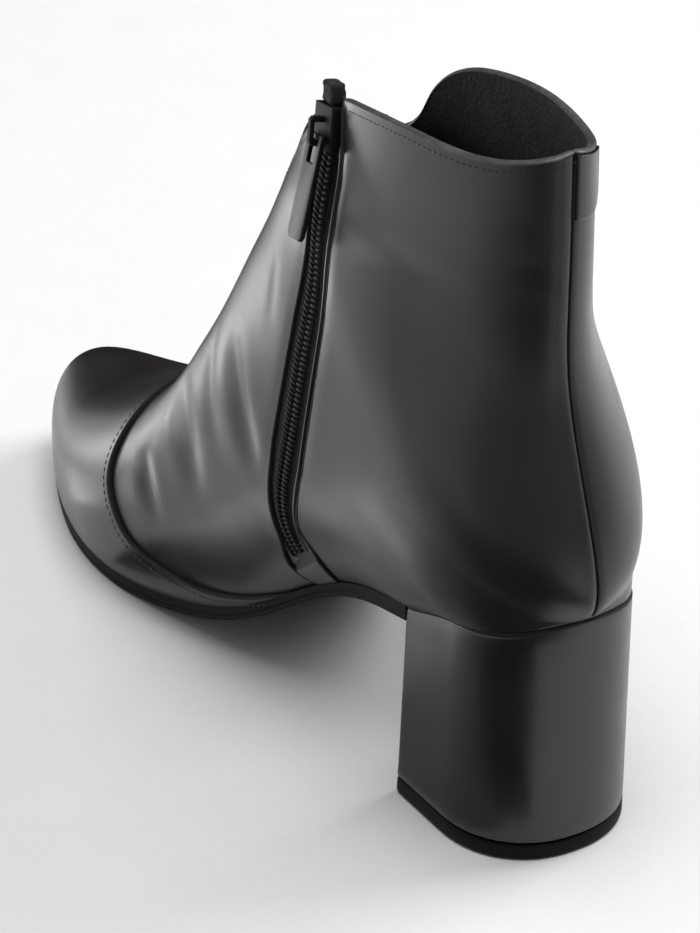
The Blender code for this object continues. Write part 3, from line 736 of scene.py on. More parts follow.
# %% Even out the counter
COUNTER_REACH, COUNTER_ROUNDS = 9.0, 40
EDGE_FADE, SEAM_FADE, SEAM_CLEAR = 4.0, 6.0, 0.4
LEAST_SHARE = 0.02


def counter_path(s, u):
    """Points along one line of the skin, on both sides of the boot."""
    s, u = np.broadcast_arrays(s, u)
    return np.concatenate((skin(s, u), skin(s, -u)))


points = np.array([vertex.co for vertex in upper.data.vertices]) / MM + ORIGIN
turn = counter_path(ROW["long"] + 0.1, np.linspace(0.70, 0.99, 30))
sole_edge = counter_path(np.linspace(ROW["breast"], ROW["long"], 40), 1.0)
off_edge = np.clip(nearest_gap(points, sole_edge) / EDGE_FADE, 0, 1)
off_seam = np.clip(np.abs(points[:, 1]) / SEAM_FADE - SEAM_CLEAR, 0, 1)
share = np.exp(-(nearest_gap(points, turn) / COUNTER_REACH) ** 2)
share *= off_edge * off_seam
chosen = np.flatnonzero(share > LEAST_SHARE)
group = upper.vertex_groups.new(name="counter")
for number in chosen:
    group.add((int(number),), float(share[number]), "REPLACE")
even = upper.modifiers.new("even", "SMOOTH")
even.factor, even.iterations, even.vertex_group = 0.5, COUNTER_ROUNDS, group.name
baked(upper)
print("counter:", len(chosen), "points evened out")
wear(upper, "upper_leather", "upper")

# %% [markdown]
# ## Folded edges
# Cut leather is pared thin and folded over at the collar, beside the zip and along the gore, so no raw edge
# shows. A slim bead along each edge gives that rounded fold, and the light catches it as a fine line. At the
# collar the bead is grey, a painted highlight for that line; beside the zip the two outer beads are near black,
# painted shade for the gaps there. The back edge of the zip has a second bead, the lip that lies against the coil.

# %% Beads along the edges
def sweep(points, side, out, ring_side, ring_out, columns=10):
    """A closed tube of elliptical section along points, with closed ends."""
    count = len(points)

    def place(a, b):
        i = np.rint(b * (count - 1)).astype(int)
        swell = np.sqrt(np.clip(1 - (np.abs(2 * b - 1) ** (count / 3)), 0.02, 1))
        turn = 2 * math.pi * a
        return (points[i] + side[i] * (ring_side * swell * np.cos(turn))[:, None]
                + out[i] * (ring_out * swell * np.sin(turn))[:, None])

    return close_up(mapped_grid(columns, count - 1, place))


def sideways(points, out):
    """Unit vectors across a path on the skin."""
    return unit(np.cross(np.gradient(points, axis=0), out))


def bead(name, s, u, sink, ring_side, ring_out, finish):
    """A bead along the line of the skin through s and u."""
    out = outward(s, u)
    points = skin(s, u) - out * sink
    made = add_object(name, sweep(points, sideways(points, out), out, ring_side, ring_out), finish)
    wear(made, "upper_leather")


COLLAR_U = np.concatenate((np.linspace(-1, -0.02, 240), np.linspace(0.02, 1, 240)))
FOLD_SIDE, FOLD_OUT = 0.6, 0.95
RIM_OUT = WALL / 2 + 0.12


def collar_runs():
    """The stretches of the collar's line that are leather, between the gore, the zip and the back."""
    s = collar_section(COLLAR_U)
    points = skin(s, COLLAR_U)
    free = np.abs(COLLAR_U) * np.interp(s, TABLE_S, TABLE_GIRTH) > gore_half(s)
    free &= nearest_gap(points, zip_point(np.linspace(0, 0.3, 60))) > SLOT_HALF
    edges = np.flatnonzero(np.diff(free.astype(int))) + 1
    return [run for run in np.split(np.arange(len(s)), edges) if free[run[0]] and len(run) > 3]


# The collar's beads are grey: a painted highlight along the rim.
for number, run in enumerate(collar_runs()):
    u = COLLAR_U[run]
    bead(f"collar_fold_{number}", collar_section(u), u, WALL / 2, FOLD_SIDE, RIM_OUT, collar_rim_highlight)

# %% Beads beside the zip and the gore
EDGE_SINK = 0.75


def zip_edge(side, first=ZIP_TOP, last=0.995, count=110):
    t = np.linspace(first, last, count)
    return beside_zip(t, side * SLOT_HALF * zip_narrowing(t), -EDGE_SINK - EDGE_PRESSED), zip_frame(t)[3]


# The front and back beads are near black: painted shade for the gaps beside the zip.
for name, side, finish in (("front", -1, dye_and_shade), ("back", 1, dye_and_shade), ("lip", 0.76, upper_leather)):
    points, out = zip_edge(side)
    fold = add_object(f"zip_fold_{name}", sweep(points, sideways(points, out), out, FOLD_SIDE, FOLD_OUT), finish)
    wear(fold, "upper_leather")
for side, name in ((1, "inner"), (-1, "outer")):
    s = np.linspace(GORE_TIP, GORE_TOP + 0.2, 80)
    s = s[s < collar_section(side * girth_share(s, gore_half(s)))]
    u = side * girth_share(s, gore_half(s))
    bead(f"gore_fold_{name}", s, u, EDGE_SINK, FOLD_SIDE, FOLD_OUT, upper_leather)

# %% [markdown]
# ## The toe cap
# The cap is a second layer of leather over the front of the vamp. Its back edge is pared and turned under, so
# it ends in a small rounded step, and its wings run back along the sole to the waist. Rows of points crowd at
# that edge to carry the round.

# %% The cap with its rounded edge
CAP_HEIGHT, CAP_WALL = 1.25, 0.45
CAP_COLUMNS, CAP_ROWS = 170, 80
EDGE_STEPS = np.array((0.8, 0.55, 0.3, 0.12, 0.0, 0.0))
EDGE_HEIGHTS = np.array((1.0, 0.99, 0.88, 0.62, 0.3, -0.25))


def cap_edge(u, inside):
    """Sections that lie a distance inside the cap's edge."""
    edge = CAP_CURVE(1 - np.abs(u))
    return edge - inside / np.linalg.norm(skin_along(edge, u), axis=-1)


def cap_place(a, b):
    u = 2 * eased(a) - 1
    row = b * CAP_ROWS
    flat_rows = CAP_ROWS - len(EDGE_STEPS) + 1
    step = np.interp(row, flat_rows + np.arange(len(EDGE_STEPS)), EDGE_STEPS)
    lift = np.interp(row, flat_rows + np.arange(len(EDGE_STEPS)), EDGE_HEIGHTS)
    share = np.clip(row / flat_rows, 0, 1) ** 1.1
    s = np.where(row <= flat_rows, share * cap_edge(u, EDGE_STEPS[0]), cap_edge(u, step))
    tuck = 0.6 + 0.4 * np.clip((1 - np.abs(u)) / 0.04, 0, 1)
    return over_skin(s, u, CAP_HEIGHT * lift * tuck + crease_relief(skin(s, u)) + toe_relief(s, u))


toe_cap = add_object("toe_cap_leather", mapped_grid(CAP_COLUMNS, CAP_ROWS, cap_place), upper_leather)
walled(toe_cap, CAP_WALL)
wear(toe_cap, "upper_leather", "toe_cap")

# %% [markdown]
# ## The back tab
# A small patch covers the top of the back seam on the outer side. Its lower end is round.

# %% The back tab
TAB_WIDTH, TAB_DROP, TAB_HEIGHT = 14.0, 16.5, 0.8
RISE_PER_SECTION = float(CURVE["low_z"](ROW["top"]) - CURVE["low_z"](ROW["ankle"]))


def tab_place(a, b):
    u = -1 + (0.15 + a * TAB_WIDTH) / np.interp(14.0, TABLE_S, TABLE_GIRTH)
    rounding = np.sqrt(1 - 0.75 * np.maximum(0.0, (a - 0.35) / 0.65) ** 2)
    drop = 0.4 + (1 - b) * (TAB_DROP * rounding - 0.4)
    rim = np.minimum(np.minimum(a, 1 - a) * TAB_WIDTH, b * TAB_DROP)
    height = TAB_HEIGHT * np.sqrt(np.clip(1 - (1 - np.clip(rim / 0.9, 0, 1)) ** 2, 0, 1)) - 0.1
    return over_skin(collar_section(u) - drop / RISE_PER_SECTION, u, height)


back_tab = walled(add_object("back_tab_leather", mapped_grid(40, 44, tab_place), upper_leather), 0.4)
wear(back_tab, "upper_leather", "back_tab")

# %% [markdown]
# ## The gore
# The V at the front of the shaft is a ribbed elastic, sewn behind the leather so that the shaft can open over
# the foot. Its ribs run up the V, and its top edge is folded into a hem.

# %% The elastic gore
GORE_SUNK = 0.5
RIB_PITCH, RIB_HEIGHT = 1.3, 0.16
HEM = 7.0


def gore_place(a, b):
    q = 2 * a - 1
    first = GORE_TIP + 0.1
    s = first + b * (GORE_TOP - 0.05 + 0.2 * q * q - first)
    across = q * (gore_half(s) + 0.3)
    ribs = RIB_HEIGHT * np.cos(2 * math.pi * across / RIB_PITCH)
    to_top = (1 - b) * 60.0
    hem = 0.35 * np.clip((HEM - to_top) / 0.8, 0, 1) - 0.5 * np.clip((0.8 - to_top) / 0.8, 0, 1)
    return off_ridge(s, across, -GORE_SUNK + ribs * (to_top > HEM) + hem)


gore = walled(add_object("gore_elastic", mapped_grid(120, 90, gore_place), elastic), 1.2)
wear(gore, "elastic", "front_gore")

# %% [markdown]
# ## Sole, insole and heel
# The outsole is a thin moulded plate with a fine line round its edge. It follows the featherline, the line on
# which the upper meets the sole. The insole closes the inside. Both are closed grids: across runs down the edge
# profile, along runs round the outline.

# %% The plates
GAP = 0.3
SOLE_THICK, SOLE_LEDGE = 4.1, 1.0
INSOLE_THICK, INSOLE_INSET = 2.2, WALL + 0.3


def sole_outline(first, last, steps):
    """Stations along the featherline, as (s, x, half width, outward x, outward y)."""
    ease = np.concatenate((np.linspace(0, 1, 14)[:-1] ** 2 * 0.6, np.linspace(0.6, last - first, steps)))
    rows = []
    for s in first + ease:
        ahead, behind = max(s - 0.02, 0.0), s + 0.02
        run = CURVE["low_x"](ahead) - CURVE["low_x"](behind)
        grow = sole_half(ahead) - sole_half(behind)
        size = math.hypot(run, grow)
        rows.append((s, CURVE["low_x"](s), sole_half(s), -grow / size, run / size))
    return rows


def make_plate(profile, first, last, steps, fade=0.0):
    """profile lists (outward offset, height) down the edge, with the height as a function of the section. Over the
    last sections, as many as fade says, the edge draws in."""
    stations = sole_outline(first, last, steps)
    loop = [(row, 1) for row in reversed(stations)] + [(row, -1) for row in stations[1:]]

    def spot(level, number):
        (s, x, half, out_x, out_y), side = loop[number]
        offset, height = profile[min(max(level - 1, 0), len(profile) - 1)]
        if fade and offset > 0:
            offset *= min(1.0, (last - s) / fade)
        y = 0.0 if level in (0, len(profile) + 1) else half + out_y * offset
        return x + out_x * offset, CURVE["lean"](s) + side * y, height(s)

    def place(a, b):
        levels = np.rint(a * (len(profile) + 1)).astype(int)
        numbers = np.rint(b * (len(loop) - 1)).astype(int)
        return np.array([spot(level, number) for level, number in zip(levels, numbers)])

    return close_up(mapped_grid(len(profile) + 1, len(loop) - 1, place))


def sole_level(share):
    """Height function at a share of the sole's thickness from its top."""
    def level(s):
        top = CURVE["low_z"](s) - 0.05
        return top + share * (max(0.0, top - GAP - SOLE_THICK) - top)
    return level


SOLE_EDGE = ((0.55, 0.0), (0.85, 0.03), (1.0, 0.12), (1.0, 0.46), (0.9, 0.50), (0.62, 0.53), (0.62, 0.58),
             (0.85, 0.61), (0.9, 0.66), (0.8, 0.86), (0.5, 0.95), (-0.1, 1.0), (-6.0, 1.0))
outsole = add_object("outsole_rubber", make_plate([(SOLE_LEDGE * out, sole_level(share)) for out, share in SOLE_EDGE],
                                                  0.0, ROW["breast"] - 0.02, 120, fade=1.6), rubber)
wear(outsole, "sole_rubber", "outsole")


def insole_level(lift):
    return lambda s: CURVE["low_z"](s) + lift


INSOLE_EDGE = ((-6.0, INSOLE_THICK), (-0.6, INSOLE_THICK), (-0.15, INSOLE_THICK - 0.25), (0.0, INSOLE_THICK - 0.8),
               (0.0, 0.0))
insole = add_object("insole_sock", make_plate([(out - INSOLE_INSET, insole_level(lift)) for out, lift in INSOLE_EDGE],
                                              0.6, ROW["long"] - 0.03, 120), lining)
wear(insole, "lining", "insole")

# %% [markdown]
# The heel is a block with a D-shaped outline, covered in the same leather, which is wrapped round the back. A piece
# of suede covers the breast down to a slanting edge. The top piece is a rubber lift of the same outline. Block and
# lift are stacks of outlines, with the edges rounded by closer levels.

# %% The heel and its top piece
LIFT_THICK = 4.6
HEEL_BOTTOM_BACK, HEEL_BOTTOM_BREAST, HEEL_BOTTOM_HALF = 4.5, 50.3, 24.0
HEEL_BACK_REACH, HEEL_BACK_POWER, BREAST_ROUND = 25.0, 0.9, 2.0
SEAT_S = np.linspace(ROW["long"], ROW["breast"] - 0.2, 80)


def seat_height(x):
    return float(np.interp(x, CURVE["low_x"](SEAT_S), CURVE["low_z"](SEAT_S)))


def dee(back, breast, half):
    """Outline of the heel: a round back, straight sides and a flat breast with rounded corners."""
    sweep_back = np.linspace(0, math.pi / 2, 36)
    points = [(back + HEEL_BACK_REACH * (1 - abs(math.cos(t)) ** HEEL_BACK_POWER),
               half * math.sin(t) ** HEEL_BACK_POWER) for t in sweep_back]
    front = breast - BREAST_ROUND
    side_x = np.linspace(points[-1][0], front, 12)[1:]
    points += [(x, half) for x in side_x]
    corner = np.linspace(0, math.pi / 2, 8)[1:]
    points += [(front + BREAST_ROUND * math.sin(t), half - BREAST_ROUND * (1 - math.cos(t))) for t in corner]
    points += [(breast, y) for y in np.linspace(half - BREAST_ROUND, 0, 14)[1:]]
    return points + [(x, -y) for x, y in reversed(points[:-1])]


def heel_outline(height, inset=0.0):
    """Heel outline at a height, between the seat and the floor."""
    share = 1 - height / HEEL_HEIGHT
    back = CURVE["low_x"](ROW["long"]) + 0.6
    breast = CURVE["low_x"](ROW["breast"])
    half = sole_half(ROW["seat"]) - 0.2
    ends = ((back, HEEL_BOTTOM_BACK), (breast, HEEL_BOTTOM_BREAST), (half, HEEL_BOTTOM_HALF))
    at_back, at_breast, at_half = (top + share * (bottom - top) for top, bottom in ends)
    return dee(at_back + inset, at_breast - inset, at_half - inset)


def make_block(levels):
    """A stack of outlines. levels lists (outline, height function of x), from the top down."""
    def spot(level, number):
        outline, height = levels[min(max(level - 1, 0), len(levels) - 1)]
        x, y = outline[number]
        return x, 0.0 if level in (0, len(levels) + 1) else y, height(x)

    count = len(levels[0][0])

    def place(a, b):
        at = np.rint(a * (len(levels) + 1)).astype(int)
        numbers = np.rint(b * (count - 1)).astype(int)
        return np.array([spot(level, number) for level, number in zip(at, numbers)])

    return close_up(mapped_grid(len(levels) + 1, count - 1, place))


def under_seat(x):
    return seat_height(x) - GAP


def heel_level(z, drop=0.0):
    return lambda x: z + (under_seat(x) - under_seat(0.0)) * z / HEEL_HEIGHT - drop


def flat_level(z):
    return lambda x: z


top = HEEL_HEIGHT
heel_levels = [(heel_outline(top, inset), heel_level(top, drop))
               for inset, drop in ((6.0, 0.05), (1.1, 0.08), (0.6, 0.25), (0.25, 0.6), (0.06, 1.05), (0.0, 1.5))]
heel_levels += [(heel_outline(z), heel_level(z)) for z in np.linspace(64, 10, 22)]
bottom = LIFT_THICK + GAP
heel_levels += [(heel_outline(bottom, inset), flat_level(bottom + lift))
                for inset, lift in ((0.0, 0.9), (0.12, 0.4), (0.45, 0.1), (1.0, 0.0))]
heel = add_object("heel_block", make_block(heel_levels), heel_leather)
wear(heel, "heel_leather", "heel")

BREAST_SEAM, BREAST_TOP = 0.42, 54.0
BREAST_PROUD, BREAST_ROLL = 0.35, 0.6


def breast_place(a, b):
    """The cover of the breast. Its lower edge slants up to the inner side."""
    low = bottom + 1.5 + a * BREAST_SEAM * (HEEL_HEIGHT - bottom)
    z = low + b * (BREAST_TOP - low)
    share = 1 - z / HEEL_HEIGHT
    breast = CURVE["low_x"](ROW["breast"]) + share * (HEEL_BOTTOM_BREAST - CURVE["low_x"](ROW["breast"]))
    half = sole_half(ROW["seat"]) - 0.2 + share * (HEEL_BOTTOM_HALF - sole_half(ROW["seat"]) + 0.2) - BREAST_ROUND
    rim = np.clip(np.minimum(np.minimum(a, 1 - a) * 2 * half, b * (BREAST_TOP - low)) / BREAST_ROLL, 0, 1)
    return np.stack((breast - 0.05 + BREAST_PROUD * np.sqrt(rim), (2 * a - 1) * half, z), axis=1)


breast_cover = walled(add_object("heel_breast_cover", mapped_grid(40, 40, breast_place), suede), 0.25)
wear(breast_cover, "heel_leather")

lift_levels = [(heel_outline(LIFT_THICK, inset), flat_level(LIFT_THICK - drop))
               for inset, drop in ((1.0, 0.0), (0.3, 0.05), (0.08, 0.25), (0.0, 0.6))]
lift_levels += [(heel_outline(0, inset), flat_level(z))
                for inset, z in ((0.0, 1.2), (0.2, 0.5), (0.7, 0.1), (1.6, 0.0))]
top_piece = add_object("top_piece_rubber", make_block(lift_levels), lift_rubber)
wear(top_piece, "sole_rubber", "top_piece")

# %% [markdown]
# ## The zip
# A coil zip is a nylon spiral sewn to each of two woven tapes. The tape lies behind the slot, and its end stands
# above the collar, folded into a soft block. The spiral shows as two rows of small rounded bars, a little over a
# millimetre apart.

# %% Tape and chain
TAPE_SUNK, TAPE_THICK, TAPE_STANDS = 1.2, 0.9, 4.2
COIL_PITCH, COIL_HALF, COIL_SHIFT = 1.4, 3.1, -0.5


def tape_place(a, b):
    first = ZIP_TOP - TAPE_STANDS / ZIP_LENGTH
    last = 1 - 0.6 / ZIP_LENGTH
    t = last + b * (first - last)
    free_end = np.clip((ZIP_TOP + 0.01 - t) * ZIP_LENGTH / TAPE_STANDS, 0, 1)
    across = (2 * a - 1) * (SLOT_HALF * zip_narrowing(t) + 0.4) * (1 - 0.6 * free_end ** 0.5)
    weave = 0.12 * np.cos(2 * math.pi * across / 1.1)
    return beside_zip(t, across, -TAPE_SUNK + weave)


tape = walled(add_object("zip_tape_weave", mapped_grid(40, 150, tape_place), woven_tape), TAPE_THICK)
wear(tape, "zip_tape", "zip_tape")


def add_ball(bm, matrix, columns=6, rows=4):
    bmesh.ops.create_uvsphere(bm, u_segments=columns, v_segments=rows, radius=1.0, matrix=matrix)


def frame_matrix(point, axes, sizes):
    """Places a unit shape at a pattern point, with its axes along three vectors and a size for each."""
    turn = Matrix(np.stack([axis * size * MM for axis, size in zip(axes, sizes)], axis=1).tolist()).to_4x4()
    turn.translation = Vector(placed(point))
    return turn


chain = bmesh.new()
steps = np.arange(ZIP_TOP + 0.02, 1 - 2.0 / ZIP_LENGTH, COIL_PITCH / ZIP_LENGTH)
for t in steps:
    point, across, up, out = zip_frame(t)
    narrow = float(zip_narrowing(t))
    for side in (-1, 1):
        slant = unit(across * side + up * 0.22)
        aside = COIL_SHIFT + side * 0.52 * COIL_HALF * narrow
        middle = point + across * aside + up * side * COIL_PITCH / 4 - out * 0.35
        axes = (slant, unit(np.cross(out, slant)), out)
        add_ball(chain, frame_matrix(middle, axes, (0.53 * COIL_HALF * narrow, 0.46, 0.55)), 8, 6)
chain = add_object("zip_chain", chain, nylon, sharp=60)
wear(chain, "zip_coil", "zip_coil")

# %% [markdown]
# The runner is a small enamelled body with a bridge, and the nickel-plated pull hangs from it by the bar of its
# window. The pull is a body of its own, because it swings. Both are bevelled boxes and plates: a bevel of a
# few tenths of a millimetre is what makes small metal look real.

# %% Runner and pull
SLIDER_AT = 0.115
PULL_LONG, PULL_WIDE, PULL_THICK = 26.0, 9.0, 1.2
PULL_BAR_HEIGHT, PULL_BAR_DROP, PULL_TILT = 3.45, 1.2, 8.0
METAL_ROUND = 0.25
slider_point, across, up, out = zip_frame(SLIDER_AT)


def plate(profile, depth, round_by):
    """A plane outline, given as (x, y), pushed both ways along z to a depth, with rounded edges."""
    bm = bmesh.new()
    face = bm.faces.new([bm.verts.new((x, y, -depth / 2)) for x, y in profile])
    grown = bmesh.ops.extrude_face_region(bm, geom=[face])
    moved = [item for item in grown["geom"] if isinstance(item, bmesh.types.BMVert)]
    bmesh.ops.translate(bm, verts=moved, vec=(0, 0, depth))
    bmesh.ops.recalc_face_normals(bm, faces=bm.faces)
    sharp = [edge for edge in bm.edges if edge.calc_face_angle(0) > 0.5]
    bmesh.ops.bevel(bm, geom=sharp, offset=round_by, segments=3, profile=0.5, affect="EDGES", material=-1)
    return bm


def set_in(bm, x_axis, y_axis, point):
    """Moves a shape made in millimetres to a pattern point, with its axes turned."""
    turn = frame_matrix(point, (x_axis, y_axis, np.cross(x_axis, y_axis)), (1, 1, 1))
    bmesh.ops.transform(bm, matrix=turn, verts=bm.verts)
    return bm


def joined(*shapes):
    """All shapes in one mesh."""
    whole = bmesh.new()
    for shape in shapes:
        piece = bpy.data.meshes.new("piece")
        shape.to_mesh(piece)
        shape.free()
        whole.from_mesh(piece)
        bpy.data.meshes.remove(piece)
    return whole


channel = ((-5.8, -0.2), (-4.7, -0.2), (-4.7, 0.9), (4.7, 0.9), (4.7, -0.2), (5.8, -0.2), (5.8, 1.9), (5.4, 2.3),
           (-5.4, 2.3), (-5.8, 1.9))
arch = ((-3.6, 1.8), (-2.2, 1.8), (-2.2, 4.6), (2.2, 4.6), (2.2, 1.8), (3.6, 1.8), (3.6, 5.0), (2.8, 5.7),
        (-2.8, 5.7), (-3.6, 5.0))
runner = joined(set_in(plate(channel, 11.0, METAL_ROUND), across, out, slider_point + up),
                set_in(plate(arch, 2.0, METAL_ROUND), up, out, slider_point))
runner = add_object("zip_runner", runner, enamel)
wear(runner, "zip_metal", "zip_slider")

end_point, end_across, end_up, end_out = zip_frame(ZIP_TOP)
folded_end = ((-3.8, -1.0), (3.8, -1.0), (3.9, 4.0), (2.6, 4.6), (0.7, 4.0), (-0.7, 4.0), (-2.6, 4.7), (-3.9, 4.1))
tape_end = plate(folded_end, 3.8, 0.9)
bmesh.ops.triangulate(tape_end, faces=tape_end.faces)
bmesh.ops.subdivide_edges(tape_end, edges=tape_end.edges, cuts=2, use_grid_fill=True)
for _ in range(4):
    bmesh.ops.smooth_vert(tape_end, verts=tape_end.verts, factor=0.5, use_axis_x=True, use_axis_y=True,
                          use_axis_z=True)
for vertex in tape_end.verts:
    vertex.co.z += 0.25 * math.sin(2.1 * vertex.co.x + 1.0) * math.cos(1.7 * vertex.co.y)
tape_end = set_in(tape_end, end_across, end_up, end_point - end_out * 0.4)
wear(add_object("zip_tape_end", tape_end, woven_tape), "zip_tape")

bar, edge, corner = PULL_THICK, PULL_WIDE / 2, 1.2
low = bar / 2 - PULL_LONG
window_half, window_long, bar_half = 2.1, 6.6, 2.3
outline = ((-edge, bar / 2), (-edge, low + corner), (-edge + corner, low), (edge - corner, low),
           (edge, low + corner), (edge, bar / 2), (window_half, bar / 2), (window_half, -window_long),
           (-window_half, -window_long), (-window_half, bar / 2))
tilt = math.radians(PULL_TILT)
pull_up = up * math.cos(tilt) - out * math.sin(tilt)
hinge = slider_point - up * PULL_BAR_DROP + out * PULL_BAR_HEIGHT
cross_bar = ((-bar_half, bar / 2), (-bar_half, -bar / 2), (bar_half, -bar / 2), (bar_half, bar / 2))
pull = joined(*(set_in(plate(shape, PULL_THICK, METAL_ROUND), across, pull_up, hinge)
                for shape in (outline, cross_bar)))
pull = add_object("zip_pull_tab", pull, nickel)
wear(pull, "zip_metal", "zip_pull", body="zip_pull")

# %% [markdown]
# ## Stitches
# Rows of black thread hold the cap, the collar and the gore. Every stitch is a tiny stretched ball that lies on
# the leather. Four to five stitches go to the centimetre on a boot like this.

# %% Rows of stitches
STITCH_WIDE, STITCH_HIGH, STITCH_LIFT = 0.4, 0.22, 0.05
CAP_STITCH_INSET, COLLAR_STITCH_INSET, GORE_STITCH_INSET = 2.3, 2.0, 2.2


def stitch_row(bm, points, out, pitch, long):
    """Stitches at an even pitch along a path."""
    run = np.concatenate(((0.0,), np.cumsum(np.linalg.norm(np.diff(points, axis=0), axis=1))))
    tangent = unit(np.gradient(points, axis=0))
    for at in np.arange(pitch / 2, run[-1], pitch):
        point, ahead, normal = (np.array([np.interp(at, run, field[:, k]) for k in range(3)])
                                for field in (points, tangent, out))
        axes = (unit(ahead), unit(np.cross(normal, ahead)), unit(normal))
        add_ball(bm, frame_matrix(point, axes, (long / 2, STITCH_WIDE / 2, STITCH_HIGH / 2)))


def beside_path(points, out, offset, height):
    return points + sideways(points, out) * offset + out * height


def sew(name, rows, pitch=2.6, long=2.0, finish=thread):
    bm = bmesh.new()
    for points, out in rows:
        stitch_row(bm, points, out, pitch, long)
    wear(add_object(name, bm, finish, sharp=60), "upper_leather")


u = np.linspace(-0.998, 0.998, 300)
edge_s = CAP_CURVE(1 - np.abs(u))
edge_out = outward(edge_s, u)
edge_points = skin(edge_s, u)
cap_row = beside_path(edge_points, edge_out, CAP_STITCH_INSET, CAP_HEIGHT + STITCH_LIFT)
sew("cap_stitches", [(cap_row, edge_out)], pitch=2.0, long=1.5, finish=waxed_thread)

rows = []
for run in collar_runs():
    s = collar_section(COLLAR_U[run])
    out = outward(s, COLLAR_U[run])
    rows.append((beside_path(skin(s, COLLAR_U[run]), out, COLLAR_STITCH_INSET, STITCH_LIFT), out))
sew("collar_stitches", rows, pitch=1.9, long=1.3)

rows = []
for side in (-1, 1):
    s = np.linspace(GORE_TIP + 0.3, GORE_TOP, 80)
    u = side * girth_share(s, gore_half(s) + GORE_STITCH_INSET)
    rows.append((over_skin(s, u, STITCH_LIFT * np.ones(len(s))), outward(s, u)))
sew("gore_stitches", rows)

# %% [markdown]
# ## Dark lines
# Where two layers of leather meet, their cut edges are dyed black and lie in shadow, so the eye reads a dark line.
# A slim near-black cord runs along the cap's edge, down the back seam and round the seat of the heel. At the cap's
# edge it is partly dye and partly painted shade; in the back seam and round the seat it is painted shade for the gap.
# The zip's foot is closed by a small tongue of leather that runs down to the sole, and two cords of painted shade
# draw its edges.

# %% Dye and painted shade lines, and the zip's foot
def dye_and_shade_cord(name, points, out, wide, high):
    made = add_object(name, sweep(points, sideways(points, out), out, wide, high, 8), dye_and_shade)
    wear(made, "upper_leather")


# Along the cap's edge the cord is partly dye on the cut edge and partly painted shade under the step.
dye_and_shade_cord("cap_edge_line", edge_points + edge_out * 0.5, edge_out, 0.42, 0.75)
# Down the back seam the cord is painted shade in the groove.
s = np.linspace(ROW["long"] + 0.05, collar_section(1.0) - 0.02, 160)
back_out = outward(s, np.full(len(s), 1.0))
back_out = unit(back_out * (1.0, 0.0, 1.0))
dye_and_shade_cord("back_seam_line", skin(s, np.full(len(s), 1.0)) - back_out * 0.3, back_out, 0.4, 0.4)
# The cord round the seat is painted shade for the gap between the heel and the upper.
seat = np.array([(x, y, under_seat(x) + 0.25) for x, y in heel_outline(HEEL_HEIGHT, 0.7)])
dye_and_shade_cord("heel_seat_line", seat, np.tile((0.0, 0.0, 1.0), (len(seat), 1)), 0.9, 0.7)

FOOT_FRONT = ((7.76, 0.885), (7.72, 0.945), (7.76, 0.999))
FOOT_BACK = ((8.24, 0.845), (8.14, 0.915), (7.98, 0.999))
TONGUE_SUNK, TONGUE_RISE, TONGUE_RUN, TONGUE_CROWN = -1.6, 1.75, 0.45, 0.12


def foot_line(line, b):
    return [through(places, b) for places in zip(*line)]


def tongue_place(a, b):
    s, u = (front + a * (back - front) for front, back in zip(foot_line(FOOT_FRONT, b), foot_line(FOOT_BACK, b)))
    rise = np.clip(b / TONGUE_RUN, 0, 1) ** 2
    return over_skin(s, u, TONGUE_SUNK + TONGUE_RISE * rise + TONGUE_CROWN * np.sin(math.pi * a) * rise)


def foot_path(side, line, last):
    """A smooth line from the zip's edge, which it leaves at last, down to the sole."""
    t = np.linspace(0.78, last, 10)
    s, distance = zip_side(t, side * SLOT_HALF * zip_narrowing(t))
    edge = np.stack((s, girth_share(s, distance)), axis=1)
    places = np.concatenate((edge, np.stack(foot_line(line, np.linspace(0.25, 1, 6)), axis=1)))
    run = np.concatenate(((0.0,), np.cumsum(np.linalg.norm(np.diff(skin(*places.T), axis=0), axis=1))))
    at = np.linspace(0, run[-1], 90)
    return Spline(run, places[:, 0])(at), np.minimum(Spline(run, places[:, 1])(at), 0.999)


tongue = walled(add_object("zip_foot_tongue", mapped_grid(16, 20, tongue_place), upper_leather), 0.5)
wear(tongue, "upper_leather")
# Two cords of painted shade draw the edges of the zip's foot.
for name, side, line, last in (("front", -1, FOOT_FRONT, 0.95), ("back", 1, FOOT_BACK, 0.90)):
    s, u = foot_path(side, line, last)
    foot_out = outward(s, u)
    height = np.interp(np.arange(90), (0, 45, 65), (-0.8, -0.3, 0.3))
    dye_and_shade_cord("zip_foot_line_" + name, over_skin(s, u, height), foot_out, 0.5, 0.45)

# %% [markdown]
# ## Studio
# A white paper floor, a large soft key light from the back and the right, and a soft light above. Polished black
# leather shows what it mirrors, so the rest of the studio is there for its reflections: glowing patches on the
# floor for the instep, the waist and the toe, faint panels on the left and the inner side, grey cards that calm the
# heel and the shaft, and black cards for the dark band down the quarter, the low vamp and the top of the toe. All
# of these work on reflections alone: they throw no shadow, and the camera does not see them.

# %% Floor, cards and lights
IMAGE_RIGHT = Vector((-0.498, -0.867, 0.0))
AWAY = Vector((0.867, -0.498, 0.0))
UP = Vector((0.0, 0.0, 1.0))
TO_TOE = Vector((1.0, 0.0, 0.0))
TO_INNER = Vector((0.0, 1.0, 0.0))
MIDDLE = (0.0, 0.0, 0.08)
GLOW_HEIGHT = 0.004
WORLD_STRENGTH = 0.24


def paper(name, wide, high, colour, dull, place, face, along):
    """A flat sheet that faces a direction, with its width along another, faintly uneven in tone."""
    bm = bmesh.new()
    bmesh.ops.create_grid(bm, x_segments=1, y_segments=1, size=0.5)
    axes = np.stack((along * wide, face.cross(along) * high, face), axis=1)
    bmesh.ops.transform(bm, matrix=Matrix.Translation(place) @ Matrix(axes.tolist()).to_4x4(), verts=bm.verts)
    sheet = add_object(name, bm, matte_finish(name + " paper", colour, dull, 0.8, 2.0, 0.02))
    return sheet


def card(name, wide, high, place, face, along, tone="#050505", dull="#080808"):
    """A black or grey card that only reflections see."""
    made = paper(name, wide, high, tone, dull, place, face, along)
    made.visible_camera = made.visible_diffuse = made.visible_shadow = False


